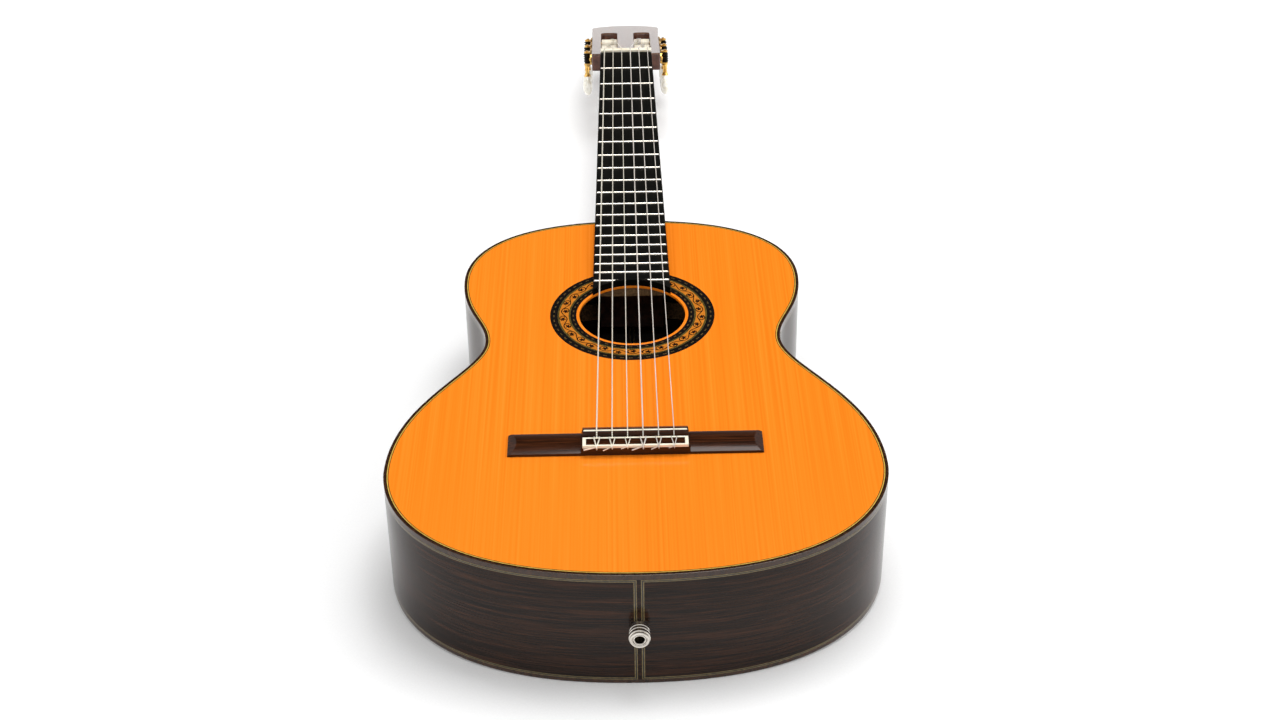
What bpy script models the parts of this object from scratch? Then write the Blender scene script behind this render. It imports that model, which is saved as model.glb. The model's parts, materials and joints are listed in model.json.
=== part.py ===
"""A classical guitar that lies on its back, modelled as its separate pieces.

Metres, +Z up, +Y from the tail to the head. The middle plane is X = 0, the bass strings
are at -X, and the back rests on Z = 0. A place along the guitar is a distance from the
nut towards the tail, a place along the body is a distance from the body's top edge, and
the head's pieces are modelled in a frame that lies in its tilted face.
"""

import math

import bmesh
import bpy
from mathutils import Vector, geometry

# ------------------------------------------------------------ driving dimensions

GAP = 0.0003  # left between two pieces that touch
CUT_CLEARANCE = 0.003  # a cutter's reach past a surface, and from a cut end to the next point

SCALE_LENGTH = 0.650
FRET_COUNT = 19
BODY_FRET = 12  # the fret at the body's top edge

BODY_LENGTH = 0.4775
BODY_DEPTH = 0.099
UPPER_BOUT_PLACE = 0.095
UPPER_BOUT_HALF = 0.1392
WAIST_PLACE = 0.188
WAIST_HALF = 0.1175
LOWER_BOUT_PLACE = 0.355
LOWER_BOUT_HALF = 0.184
# How far the outline runs on straight at each of its turning points.
SHOULDER_FULLNESS = 0.118
UPPER_BOUT_FULLNESS = (0.038, 0.049)
WAIST_FULLNESS = (0.029, 0.040)
LOWER_BOUT_FULLNESS = (0.0886, 0.030)
TAIL_FULLNESS = 0.168
OUTLINE_STEPS = (11, 6, 9, 12)

SOUNDBOARD_THICKNESS = 0.0024
BACK_THICKNESS = 0.0025
BACK_FLAT_HALF = 0.035
BACK_ARCH_RADIUS = 2.8
BACK_STRIPS = 6
RIB_THICKNESS = 0.0022
BINDING_LEG = 0.0020
BINDING_WIDTH = 0.0038
TOP_BINDING_HEIGHT = 0.0044
BACK_BINDING_HEIGHT = 0.0034
LINING_WIDTH = 0.0060
LINING_FOOT = 0.0016
LINING_HEIGHT = 0.0140
END_GRAFT_HALF = 0.0080
TAIL_BLOCK_HALF = 0.0350
TAIL_BLOCK_THICKNESS = 0.0140

SOUNDHOLE_PLACE = 0.150
SOUNDHOLE_RADIUS = 0.043
ROSETTE_MARGIN = 0.0026
ROSETTE_WIDTH = 0.0194
ROSETTE_THICKNESS = 0.0012
ROUND_STEPS = 40

HARMONIC_BAR_MARGIN = 0.012
BAR_WIDTH = 0.006
BAR_HEIGHT = 0.013
FAN_COUNT = 7
FAN_WIDTH = 0.005
FAN_HEIGHT = 0.0045
FAN_TOP_PITCH = 0.022
FAN_TAIL_PITCH = 0.034
FAN_TAIL_MARGIN = 0.070
FAN_BAR_MARGIN = 0.004
CLOSING_BAR_RISE = 0.020
CENTER_STRIP_HALF = 0.008
CENTER_STRIP_THICKNESS = 0.002
BACK_BRACE_PLACES = (0.085, 0.195, 0.325)
BACK_BRACE_WIDTH = 0.008
BACK_BRACE_HEIGHT = 0.018
BRACE_END_MARGIN = 0.0015
BRACE_CROWN = 0.6  # of a back brace's width, at its top

NUT_HALF = 0.0255
BODY_JOIN_HALF = 0.03025
FINGERBOARD_THICKNESS = 0.0060
FRET_WIDTH = 0.0022
FRET_HEIGHT = 0.0010
FRET_END_MARGIN = 0.0004
NUT_THICKNESS = 0.0055
NUT_HEIGHT = 0.0073
NECK_DEPTH_AT_NUT = 0.0160
NECK_DEPTH_AT_HEEL = 0.0175
NECK_KEEL_HALF = 0.0015
HEEL_LENGTH = 0.075
HEEL_CAP_LENGTH = 0.021
HEEL_CAP_HALF = 0.0150
HEEL_CAP_THICKNESS = 0.0030
HEEL_SWEEP = 2.4
HEEL_TAPER = 0.7
HEEL_STEPS = 8
HEEL_CAP_SHARES = (0.0, 0.12, 0.35, 0.65, 1.0)  # of the cap's length, where its width is set
SECTION_STEPS = 6
FOOT_HALF = 0.0300
FOOT_LENGTH = 0.027
SLIPPER_LENGTH = 0.060
SLIPPER_HEIGHT = 0.012
SLIPPER_ROOT_HEIGHT = 0.018

HEAD_TILT = math.radians(15.5)
HEAD_FACE_HEIGHT = 0.0025  # the face's plane above the soundboard at the nut
HEAD_START = 0.0063
HEAD_THICKNESS = 0.0195
VENEER_THICKNESS = 0.0020
SHOULDER_PLACE = 0.0095
SHOULDER_SLOPE = 0.0020
SPINE_HALF = 0.0085
SLOT_WIDTH = 0.0170
RAIL_WIDTH = 0.0091
SLOT_START = 0.0220
SLOT_MARGIN = 0.0210  # from the last post to the slot's far end
CREST_MARGIN = 0.0320  # from the slots to the crest's corners
CREST_RISE = 0.0130
HEAD_FLARE = 0.0020
CREST_STEPS = 10
CORNER_CHAMFER = 0.0035

FIRST_POST = 0.0430
POST_PITCH = 0.0350
POST_DEPTH = 0.0085  # of the posts' axes below the face
PIN_RADIUS = 0.0024
PIN_LENGTH = 0.0047
ROLLER_RADIUS = 0.0050
JOURNAL_RADIUS = 0.0030
GEAR_SHAFT_RADIUS = 0.0020
SCREW_RADIUS = 0.0031
SCREW_HEIGHT = 0.0012
SHAFT_CLEARANCE = 0.00035
PLATE_THICKNESS = 0.0015
PLATE_HALF_WIDTH = 0.0075
PLATE_NUT_MARGIN = 0.0190
PLATE_CREST_MARGIN = 0.0120
GEAR_TEETH = 16
GEAR_RADIUS = 0.0065
GEAR_TOOTH_DEPTH = 0.0011
GEAR_THICKNESS = 0.0028
GEAR_STANDOFF = 0.0019
WORM_RADIUS = 0.0026
WORM_HALF_LENGTH = 0.0051
WORM_SHAFT_RADIUS = 0.0015
LUG_HALF_WIDTH = 0.0037
LUG_THICKNESS = 0.0014
COLLAR_RADIUS = 0.0028
COLLAR_LENGTH = 0.0110
BUTTON_LENGTH = 0.0200
BUTTON_HALF_WIDTH = 0.0085
BUTTON_HALF_THICKNESS = 0.0048
BUTTON_SHAPE = ((0.0, 0.55), (0.2, 0.85), (0.5, 1.0), (0.8, 0.9), (1.0, 0.55))  # place, width
KNOB_SIDES = 10
POST_SIDES = 12

BRIDGE_HALF = 0.0945
BRIDGE_FRONT = 0.0090  # from the scale's end to the bridge's front edge
BRIDGE_DEPTH = 0.0260
TIE_BLOCK_HALF = 0.0400
WING_HEIGHT = 0.0040
SADDLE_HALF = 0.0392
SADDLE_THICKNESS = 0.0026
SADDLE_TOP = 0.0120
SADDLE_COMPENSATION = 0.0005  # the saddle's middle past the scale's end
TIE_HOLE_HEIGHT = 0.0055
TIE_HOLE_SIDES = 8
TIE_BLOCK_SHELF = 0.0077
TIE_BLOCK_TOP = 0.0090
TRIM_BAR = 0.0020
TRIM_END = 0.0045
BLOCK_TOP_DEPTH = 0.0070  # of the block's raised middle, between its trim bars
WING_NOSE = 0.5  # of the wing's height, at its front edge
WING_TAIL = 0.6  # of the wing's height, at its back edge
RIDGE_HEIGHT = 0.0072
RIDGE_NOSE = 0.9  # of the ridge's height, where its front slope ends
RIDGE_SLOPE = 0.0035
RIDGE_BACK = 0.0009  # of the ridge's top, behind the saddle
CHANNEL_HEIGHT = 0.0040
PICKUP_FLOOR = 0.0025
STEP = 0.0001  # the run of a step that is all but upright
STEP_SLOPE = 0.0003
# Where the wings thin towards their ends: distance from the end, height and depth's share.
WING_TIPS = ((0.0, 0.0014, 0.62), (0.0020, 0.0026, 0.86), (0.0060, 0.0034, 1.0))
WING_ROOT = (0.0150, 0.0010)  # from the block's end to where a wing is level
PICKUP_THICKNESS = 0.0010

STRING_RADII = (0.000355, 0.00041, 0.00051, 0.00037, 0.00043, 0.000535)  # first to sixth
NUT_SPREAD = 0.043
SADDLE_SPREAD = 0.057
STRING_AT_NUT = 0.0076  # the strings' undersides above the soundboard
STRING_AT_SADDLE = 0.0123
POST_CONTACTS = (0.0200, 0.0165, 0.0125)  # where each side's strings meet their rollers
COIL_STEPS = 12
COIL_START = math.radians(95)  # round the roller, from the crest's side
STRING_KNEE = 0.0018  # from the saddle's middle to where a string turns down
TIE_STANDOFF = 0.0012
TIE_BEND = 0.0012
TIE_TAIL_START = 0.0030

JACK_HEIGHT = 0.052
JACK_BARREL_RADIUS = 0.0055
JACK_BORE_RADIUS = 0.003175
JACK_BORE_DEPTH = 0.032
JACK_BARREL_LENGTH = 0.036
JACK_CAP_RADIUS = 0.0077
JACK_CAP_WAIST = 0.0066
JACK_CAP_LENGTH = 0.0132
JACK_CAP_SHARES = (0.25, 0.32, 0.62, 0.70, 0.93)  # of its length, where its profile turns
JACK_NUT_RADIUS = 0.0085
JACK_NUT_THICKNESS = 0.0030
JACK_SIDES = 16

# ------------------------------------------------------------ values worked out

BODY_TOP = SCALE_LENGTH * (1 - 2 ** (-BODY_FRET / 12))
LAST_POST = FIRST_POST + 2 * POST_PITCH
SLOT_END = LAST_POST + SLOT_MARGIN
HEAD_LENGTH = SLOT_END + CREST_MARGIN + CREST_RISE - GAP
HEAD_HALF = SPINE_HALF + SLOT_WIDTH + RAIL_WIDTH
HEAD_REACH = HEAD_LENGTH * math.cos(HEAD_TILT)
TAIL = BODY_TOP + BODY_LENGTH
NUT_Y = (TAIL + GAP + JACK_CAP_LENGTH - HEAD_REACH) / 2
BOARD_TAPER = (BODY_JOIN_HALF - NUT_HALF) / BODY_TOP
SOUNDHOLE_AT = BODY_TOP + SOUNDHOLE_PLACE
RIB_LOW = BACK_BINDING_HEIGHT + GAP
RIB_TOP = TOP_BINDING_HEIGHT + GAP
LINING_INSET = RIB_THICKNESS + GAP
PLATE_INSET = BINDING_WIDTH + GAP
UNDER_BOARD = SOUNDBOARD_THICKNESS + GAP
OVER_BACK = BACK_THICKNESS + GAP
BRACE_INSET = LINING_INSET + LINING_WIDTH + BRACE_END_MARGIN
NECK_END = BODY_TOP - GAP
SADDLE_AT = SCALE_LENGTH + SADDLE_COMPENSATION
BRIDGE_AT = SCALE_LENGTH - BRIDGE_FRONT
BLOCK_FRONT = BRIDGE_DEPTH - 2 * TRIM_BAR - BLOCK_TOP_DEPTH
PLATE_OUTSIDE = HEAD_HALF + GAP + PLATE_THICKNESS
GEAR_INSIDE = PLATE_OUTSIDE + GEAR_STANDOFF
GEAR_OUTSIDE = GEAR_INSIDE + GEAR_THICKNESS
WORM_X = (GEAR_INSIDE + GEAR_OUTSIDE) / 2
WORM_OFFSET = GEAR_RADIUS + WORM_RADIUS + SHAFT_CLEARANCE


def along(distance):
    """The Y of a place at this distance from the nut towards the tail."""
    return NUT_Y - distance


def board_half(distance):
    """Half the fingerboard's width at this distance from the nut."""
    return NUT_HALF + BOARD_TAPER * max(distance, 0.0)


def back_height(x):
    """The height of the back's outer face: flat in the middle, arched towards the sides."""
    beyond = max(abs(x) - BACK_FLAT_HALF, 0.0)
    return beyond * beyond / (2 * BACK_ARCH_RADIUS)


# ------------------------------------------------------------ scene, materials, helpers

for old in list(bpy.data.objects):
    bpy.data.objects.remove(old, do_unlink=True)

FINISHES = {
    "spruce": ((0.95, 0.42, 0.10), 0.25, 0.0),
    "rosewood": ((0.055, 0.030, 0.022), 0.20, 0.0),
    "cedar": ((0.16, 0.065, 0.035), 0.35, 0.0),
    "inner_wood": ((0.60, 0.42, 0.24), 0.60, 0.0),
    "ebony": ((0.020, 0.018, 0.018), 0.40, 0.0),
    "bone": ((0.88, 0.82, 0.68), 0.35, 0.0),
    "marquetry": ((0.45, 0.22, 0.06), 0.30, 0.0),
    "binding": ((0.10, 0.05, 0.03), 0.25, 0.0),
    "gold": ((0.90, 0.62, 0.25), 0.25, 1.0),
    "black_metal": ((0.05, 0.05, 0.05), 0.35, 1.0),
    "steel": ((0.60, 0.60, 0.62), 0.30, 1.0),
    "nickel": ((0.75, 0.73, 0.70), 0.20, 1.0),
    "pearl": ((0.86, 0.82, 0.72), 0.25, 0.0),
    "silver_wound": ((0.75, 0.74, 0.72), 0.30, 1.0),
    "nylon": ((0.70, 0.68, 0.72), 0.20, 0.0),
    "pickup": ((0.12, 0.12, 0.12), 0.50, 0.0),
}


def material(name):
    """The named finish, made the first time that it is asked for."""
    if name in bpy.data.materials:
        return bpy.data.materials[name]
    color, roughness, metallic = FINISHES[name]
    made = bpy.data.materials.new(name)
    made.use_nodes = True
    shader = made.node_tree.nodes["Principled BSDF"]
    shader.inputs["Base Color"].default_value = (*color, 1.0)
    shader.inputs["Roughness"].default_value = roughness
    shader.inputs["Metallic"].default_value = metallic
    return made


def place(name, mesh_data, parent=None, location=(0.0, 0.0, 0.0)):
    obj = bpy.data.objects.new(name, mesh_data)
    bpy.context.scene.collection.objects.link(obj)
    obj.parent = parent
    obj.location = location
    return obj


def solid(name, bm, finish=None, parent=None, location=(0.0, 0.0, 0.0), smooth=True):
    """An object from a closed bmesh; with no finish it is a helper that only cuts or joins."""
    bmesh.ops.recalc_face_normals(bm, faces=bm.faces)
    mesh = bpy.data.meshes.new(name)
    bm.to_mesh(mesh)
    bm.free()
    obj = place(name, mesh, parent, location)
    if finish is None:
        obj.hide_render = True
        obj.display_type = "WIRE"
        return obj
    mesh.materials.append(material(finish))
    if smooth:
        mesh.shade_smooth()
        mesh.set_sharp_from_angle(angle=math.radians(35))
    return obj


def boolean(obj, helper, operation):
    modifier = obj.modifiers.new(operation.lower(), "BOOLEAN")
    modifier.operation = operation
    modifier.solver = "EXACT"
    modifier.object = helper


def loft(bm, rings, closed=False):
    """Walls between rings of equally many points, with end caps unless the rings close."""
    verts = [[bm.verts.new(point) for point in ring] for ring in rings]
    spans = list(zip(verts, verts[1:]))
    if closed:
        spans.append((verts[-1], verts[0]))
    for ring, after in spans:
        for i in range(len(ring)):
            j = (i + 1) % len(ring)
            bm.faces.new((ring[i], ring[j], after[j], after[i]))
    if not closed:
        bm.faces.new(verts[0])
        bm.faces.new(verts[-1])


def prism(bm, outline, low, high):
    """A flat outline of (x, y) points as a body between two heights."""
    loft(bm, [[(x, y, low) for x, y in outline], [(x, y, high) for x, y in outline]])


def box(bm, low, high):
    outline = [(low[0], low[1]), (high[0], low[1]), (high[0], high[1]), (low[0], high[1])]
    prism(bm, outline, low[2], high[2])


def circle(radius, sides, center=(0.0, 0.0)):
    turns = [2 * math.pi * i / sides for i in range(sides)]
    return [(center[0] + radius * math.cos(a), center[1] + radius * math.sin(a)) for a in turns]


def cylinder_x(bm, start, stop, center, radius, sides):
    """A cylinder along X between two places, round (y, z)."""
    rings = [[(x, y, z) for y, z in circle(radius, sides, center)] for x in (start, stop)]
    loft(bm, rings)


def cylinder_y(bm, start, stop, center, radius, sides):
    """A cylinder along Y between two places, round (x, z)."""
    rings = [[(x, y, z) for x, z in circle(radius, sides, center)] for y in (start, stop)]
    loft(bm, rings)


# ------------------------------------------------------------ the body's outline


def half_outline():
    """The outline's half at +X, from the top edge's middle to the tail, as (x, place)."""
    upper = Vector((UPPER_BOUT_HALF, UPPER_BOUT_PLACE))
    waist = Vector((WAIST_HALF, WAIST_PLACE))
    lower = Vector((LOWER_BOUT_HALF, LOWER_BOUT_PLACE))
    top = Vector((0.0, 0.0))
    tail = Vector((0.0, BODY_LENGTH))
    down = Vector((0.0, 1.0))
    out = Vector((1.0, 0.0))
    stretches = [
        (top, top + out * SHOULDER_FULLNESS, upper - down * UPPER_BOUT_FULLNESS[0], upper),
        (upper, upper + down * UPPER_BOUT_FULLNESS[1], waist - down * WAIST_FULLNESS[0], waist),
        (waist, waist + down * WAIST_FULLNESS[1], lower - down * LOWER_BOUT_FULLNESS[0], lower),
        (lower, lower + down * LOWER_BOUT_FULLNESS[1], tail + out * TAIL_FULLNESS, tail),
    ]
    points = [top]
    for knots, steps in zip(stretches, OUTLINE_STEPS):
        points += geometry.interpolate_bezier(*knots, steps + 1)[1:]
    return points


def half_samples():
    """The half outline's points, each with its direction into the body."""
    points = half_outline()
    samples = [(points[0], Vector((0.0, 1.0)))]
    for before, point, after in zip(points, points[1:], points[2:]):
        run = (after - before).normalized()
        samples.append((point, Vector((-run.y, run.x))))
    samples.append((points[-1], Vector((0.0, -1.0))))
    return samples


HALF = half_samples()
WIDEST = max(range(len(HALF)), key=lambda i: HALF[i][0].x)


def cut_sample(samples, x, into):
    """The place where these samples cross a plane at X = x."""
    for (a, _), (b, _) in zip(samples, samples[1:]):
        if min(a.x, b.x) <= x <= max(a.x, b.x):
            share = (x - a.x) / (b.x - a.x)
            return (a.lerp(b, share), into)
    return samples[0]


def mirrored(samples, side):
    return [(Vector((side * p.x, p.y)), Vector((side * n.x, n.y))) for p, n in samples]


def side_samples(top_cut, tail_cut, side):
    """One side's samples between a plane near the neck and one near the tail."""
    near_top = HALF[: WIDEST + 1]
    near_tail = HALF[WIDEST:]
    middle = [s for s in near_top if s[0].x > top_cut + CUT_CLEARANCE or s[0].y > WAIST_PLACE]
    middle += [s for s in near_tail[1:] if s[0].x > tail_cut + CUT_CLEARANCE]
    first = cut_sample(near_top, top_cut, Vector((0.0, 1.0)))
    last = cut_sample(near_tail, tail_cut, Vector((0.0, -1.0)))
    return mirrored([first, *middle, last], side)


def tail_samples(half):
    """The samples round the tail's middle, from +half to -half."""
    near_tail = HALF[WIDEST:]
    first = cut_sample(near_tail, half, Vector((0.0, -1.0)))
    inner = [s for s in near_tail[:-1] if s[0].x < half - CUT_CLEARANCE]
    right = [first, *inner]
    return right + [HALF[-1]] + list(reversed(mirrored(right, -1)))


def closed_samples():
    return HALF + list(reversed(mirrored(HALF[1:-1], -1)))


def block_face_at(x):
    """How far outside the tail's end the tail block's inner face lies at this x, less a gap."""
    drop = BODY_LENGTH - cut_sample(HALF[WIDEST:], x, Vector((0.0, -1.0)))[0].y
    return -drop - LINING_INSET - TAIL_BLOCK_THICKNESS - GAP


def inset_outline(samples, inset):
    """World (x, y) points at this distance inside the outline."""
    moved = [point + into * inset for point, into in samples]
    return [(p.x, along(BODY_TOP + p.y)) for p in moved]


def half_width_at(body_place, inset):
    """Half the width inside the outline, inset by this much, at a place along the body."""
    moved = [point + into * inset for point, into in HALF]
    for a, b in zip(moved, moved[1:]):
        if a.y <= body_place <= b.y:
            return a.x + (b.x - a.x) * (body_place - a.y) / (b.y - a.y)
    return moved[-1].x


def edge_band(name, samples, profile, finish, closed=False):
    """A strip that follows the outline. Its profile's points are (inset, face, height),
    where the height is above the back's face or below the top's."""
    bm = bmesh.new()
    columns = [inset_outline(samples, inset) for inset, _, _ in profile]
    rings = []
    for i in range(len(samples)):
        ring = []
        for (_, face, height), column in zip(profile, columns):
            x, y = column[i]
            z = BODY_DEPTH - height if face == "top" else back_height(x) + height
            ring.append((x, y, z))
        rings.append(ring)
    loft(bm, rings, closed)
    return solid(name, bm, finish)


# ------------------------------------------------------------ body


def make_soundboard():
    outline = inset_outline(closed_samples(), PLATE_INSET)
    bm = bmesh.new()
    prism(bm, outline, BODY_DEPTH - SOUNDBOARD_THICKNESS, BODY_DEPTH)
    board = solid("soundboard", bm, "spruce")
    center = (0.0, along(SOUNDHOLE_AT))
    hole = bmesh.new()
    low, high = BODY_DEPTH - CUT_CLEARANCE, BODY_DEPTH + CUT_CLEARANCE
    prism(hole, circle(SOUNDHOLE_RADIUS, ROUND_STEPS, center), low, high)
    boolean(board, solid("soundhole_cutter", hole), "DIFFERENCE")

    inner = SOUNDHOLE_RADIUS + ROSETTE_MARGIN
    outer = inner + ROSETTE_WIDTH
    floor = BODY_DEPTH - ROSETTE_THICKNESS - GAP
    channel = ring_body(center, inner - GAP, outer + GAP, floor, high)
    boolean(board, solid("rosette_channel_cutter", channel), "DIFFERENCE")
    rosette = ring_body(center, inner, outer, BODY_DEPTH - ROSETTE_THICKNESS, BODY_DEPTH)
    solid("rosette", rosette, "marquetry")


def ring_body(center, inner, outer, low, high):
    """A flat ring between two radii and two heights."""
    bm = bmesh.new()
    rings = []
    for i in range(ROUND_STEPS):
        turn = 2 * math.pi * i / ROUND_STEPS
        ends = [(center[0] + r * math.cos(turn), center[1] + r * math.sin(turn)) for r in (inner, outer)]
        (ax, ay), (bx, by) = ends
        rings.append([(ax, ay, low), (bx, by, low), (bx, by, high), (ax, ay, high)])
    loft(bm, rings, closed=True)
    return bm


def make_back(name, side):
    """One half of the back: a sheet split into strips, bent to the arch and thickened."""
    seam = GAP / 2
    outline = [(max(x, seam), y) for x, y in inset_outline(HALF, PLATE_INSET)]
    bm = bmesh.new()
    bm.faces.new([bm.verts.new((side * x, y, 0.0)) for x, y in outline])
    reach = LOWER_BOUT_HALF - PLATE_INSET - BACK_FLAT_HALF
    for strip in range(BACK_STRIPS):
        x = side * (BACK_FLAT_HALF + reach * strip / BACK_STRIPS)
        parts = bm.verts[:] + bm.edges[:] + bm.faces[:]
        bmesh.ops.bisect_plane(bm, geom=parts, dist=1e-6, plane_co=(x, 0, 0), plane_no=(1, 0, 0))
    for vert in bm.verts:
        vert.co.z = back_height(vert.co.x)
    thicken(bm, BACK_THICKNESS)
    solid(name, bm, "rosewood")


def thicken(bm, height):
    """Turns an open sheet into a closed plate, upwards."""
    sheet = list(bm.faces)
    rim = [edge.verts[:] for edge in bm.edges if edge.is_boundary]
    above = {vert: bm.verts.new(vert.co + Vector((0, 0, height))) for vert in list(bm.verts)}
    for face in sheet:
        bm.faces.new([above[vert] for vert in reversed(face.verts)])
    for a, b in rim:
        bm.faces.new((a, b, above[b], above[a]))


def make_edges():
    """Ribs, bindings, linings, end graft and tail block, all on the body's outline."""
    around = closed_samples()
    top_profile = [
        (0, "top", 0),
        (BINDING_WIDTH, "top", 0),
        (BINDING_WIDTH, "top", SOUNDBOARD_THICKNESS),
        (BINDING_LEG, "top", SOUNDBOARD_THICKNESS),
        (BINDING_LEG, "top", TOP_BINDING_HEIGHT),
        (0, "top", TOP_BINDING_HEIGHT),
    ]
    edge_band("top_binding", around, top_profile, "binding", closed=True)
    back_profile = [
        (0, "back", 0),
        (BINDING_WIDTH, "back", 0),
        (BINDING_WIDTH, "back", BACK_THICKNESS),
        (BINDING_LEG, "back", BACK_THICKNESS),
        (BINDING_LEG, "back", BACK_BINDING_HEIGHT),
        (0, "back", BACK_BINDING_HEIGHT),
    ]
    edge_band("back_binding", around, back_profile, "binding", closed=True)

    rib = [
        (0, "back", RIB_LOW),
        (RIB_THICKNESS, "back", RIB_LOW),
        (RIB_THICKNESS, "top", RIB_TOP),
        (0, "top", RIB_TOP),
    ]
    outer = LINING_INSET + LINING_WIDTH
    inner = LINING_INSET + LINING_FOOT
    for label, side in (("bass", -1), ("treble", 1)):
        part = side_samples(FOOT_HALF + GAP, END_GRAFT_HALF + GAP, side)
        edge_band("rib_" + label, part, rib, "rosewood")
        part = side_samples(FOOT_HALF + GAP, TAIL_BLOCK_HALF + GAP, side)
        for face, start in (("top", UNDER_BOARD), ("back", OVER_BACK)):
            lining = [
                (LINING_INSET, face, start),
                (outer, face, start),
                (inner, face, start + LINING_HEIGHT),
                (LINING_INSET, face, start + LINING_HEIGHT),
            ]
            edge_band("lining_" + face + "_" + label, part, lining, "inner_wood")

    graft = edge_band("end_graft", tail_samples(END_GRAFT_HALF), rib, "rosewood")
    depth = LINING_INSET + TAIL_BLOCK_THICKNESS
    block_profile = [
        (LINING_INSET, "back", OVER_BACK),
        (depth, "back", OVER_BACK),
        (depth, "top", UNDER_BOARD),
        (LINING_INSET, "top", UNDER_BOARD),
    ]
    block = edge_band("tail_block", tail_samples(TAIL_BLOCK_HALF), block_profile, "inner_wood")
    bore = bmesh.new()
    start, stop = along(TAIL - 2 * depth), along(TAIL + depth)
    bore_radius = JACK_BARREL_RADIUS + SHAFT_CLEARANCE
    cylinder_y(bore, start, stop, (0, JACK_HEIGHT), bore_radius, JACK_SIDES)
    cutter = solid("jack_bore_cutter", bore)
    boolean(graft, cutter, "DIFFERENCE")
    boolean(block, cutter, "DIFFERENCE")


def make_braces():
    """Bars under the soundboard and across the back."""
    under = BODY_DEPTH - UNDER_BOARD
    reach = SOUNDHOLE_RADIUS + HARMONIC_BAR_MARGIN
    for label, body_place in (("upper", SOUNDHOLE_PLACE - reach), ("lower", SOUNDHOLE_PLACE + reach)):
        edges = [body_place - BAR_WIDTH / 2, body_place + BAR_WIDTH / 2]
        half = min(half_width_at(edge, BRACE_INSET) for edge in edges)
        y = along(BODY_TOP + body_place)
        bm = bmesh.new()
        box(bm, (-half, y - BAR_WIDTH / 2, under - BAR_HEIGHT), (half, y + BAR_WIDTH / 2, under))
        solid(label + "_harmonic_bar", bm, "inner_wood")

    make_fans(SOUNDHOLE_PLACE + reach + BAR_WIDTH / 2 + FAN_BAR_MARGIN)

    for label, body_place in zip(("upper", "middle", "lower"), BACK_BRACE_PLACES):
        make_back_brace("back_brace_" + label, body_place)

    start = along(BODY_TOP + SLIPPER_LENGTH + FAN_BAR_MARGIN)
    stop = along(TAIL + block_face_at(TAIL_BLOCK_HALF))
    bm = bmesh.new()
    low = (-CENTER_STRIP_HALF, stop, OVER_BACK)
    box(bm, low, (CENTER_STRIP_HALF, start, OVER_BACK + CENTER_STRIP_THICKNESS))
    solid("back_center_strip", bm, "inner_wood")


def bar(bm, start, stop, width, low, high):
    """A straight bar between two (x, y) points."""
    run = (Vector(stop) - Vector(start)).normalized()
    across = Vector((-run.y, run.x)) * width / 2
    a, b = Vector(start), Vector(stop)
    prism(bm, [tuple(a + across), tuple(a - across), tuple(b - across), tuple(b + across)], low, high)


def make_fans(first_place):
    """Seven fan braces that spread towards the tail and end on two closing bars."""
    high = BODY_DEPTH - UNDER_BOARD
    low = high - FAN_HEIGHT
    tail_place = BODY_LENGTH - FAN_TAIL_MARGIN
    outermost = (FAN_COUNT - 1) / 2
    reach = outermost * FAN_TAIL_PITCH + FAN_WIDTH
    tip = (0.0, along(BODY_TOP + tail_place + CLOSING_BAR_RISE))
    fans = None
    for side in (-1, 1):
        bm = bmesh.new()
        end = (side * reach, along(BODY_TOP + tail_place))
        start = (-side * FAN_WIDTH / 2, tip[1])
        bar(bm, start, end, FAN_WIDTH, low, high)
        if fans is None:
            fans = solid("fan_bracing", bm, "inner_wood", smooth=False)
        else:
            boolean(fans, solid("closing_bar_helper", bm), "UNION")
    for i in range(FAN_COUNT):
        step = i - outermost
        inward = 1 - abs(step) * FAN_TAIL_PITCH / reach
        drop = CLOSING_BAR_RISE * inward
        start = (step * FAN_TOP_PITCH, along(BODY_TOP + first_place))
        end = (step * FAN_TAIL_PITCH, along(BODY_TOP + tail_place + drop))
        bm = bmesh.new()
        bar(bm, start, end, FAN_WIDTH, low, high)
        boolean(fans, solid("fan_helper_" + str(i + 1), bm), "UNION")


def make_back_brace(name, body_place):
    """A bar across the back, arched with it and bridging the centre strip."""
    edges = [body_place - BACK_BRACE_WIDTH / 2, body_place + BACK_BRACE_WIDTH / 2]
    half = min(half_width_at(edge, BRACE_INSET) for edge in edges)
    step = CENTER_STRIP_HALF + GAP
    low_steps = [half, (half + BACK_FLAT_HALF) / 2, BACK_FLAT_HALF, step + CUT_CLEARANCE]
    stations = [(-x, 0.0) for x in low_steps]
    rise = CENTER_STRIP_THICKNESS + GAP
    stations += [(-step, rise), (step, rise)]
    stations += [(x, 0.0) for x in reversed(low_steps)]
    y = along(BODY_TOP + body_place)
    rings = []
    for x, lift in stations:
        low = back_height(x) + OVER_BACK + lift
        high = back_height(half) + OVER_BACK + BACK_BRACE_HEIGHT
        corners = ((-1, low), (1, low), (BRACE_CROWN, high), (-BRACE_CROWN, high))
        rings.append([(x, y + share * BACK_BRACE_WIDTH / 2, z) for share, z in corners])
    bm = bmesh.new()
    loft(bm, rings)
    solid(name, bm, "inner_wood", smooth=False)


# ------------------------------------------------------------ neck


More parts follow.
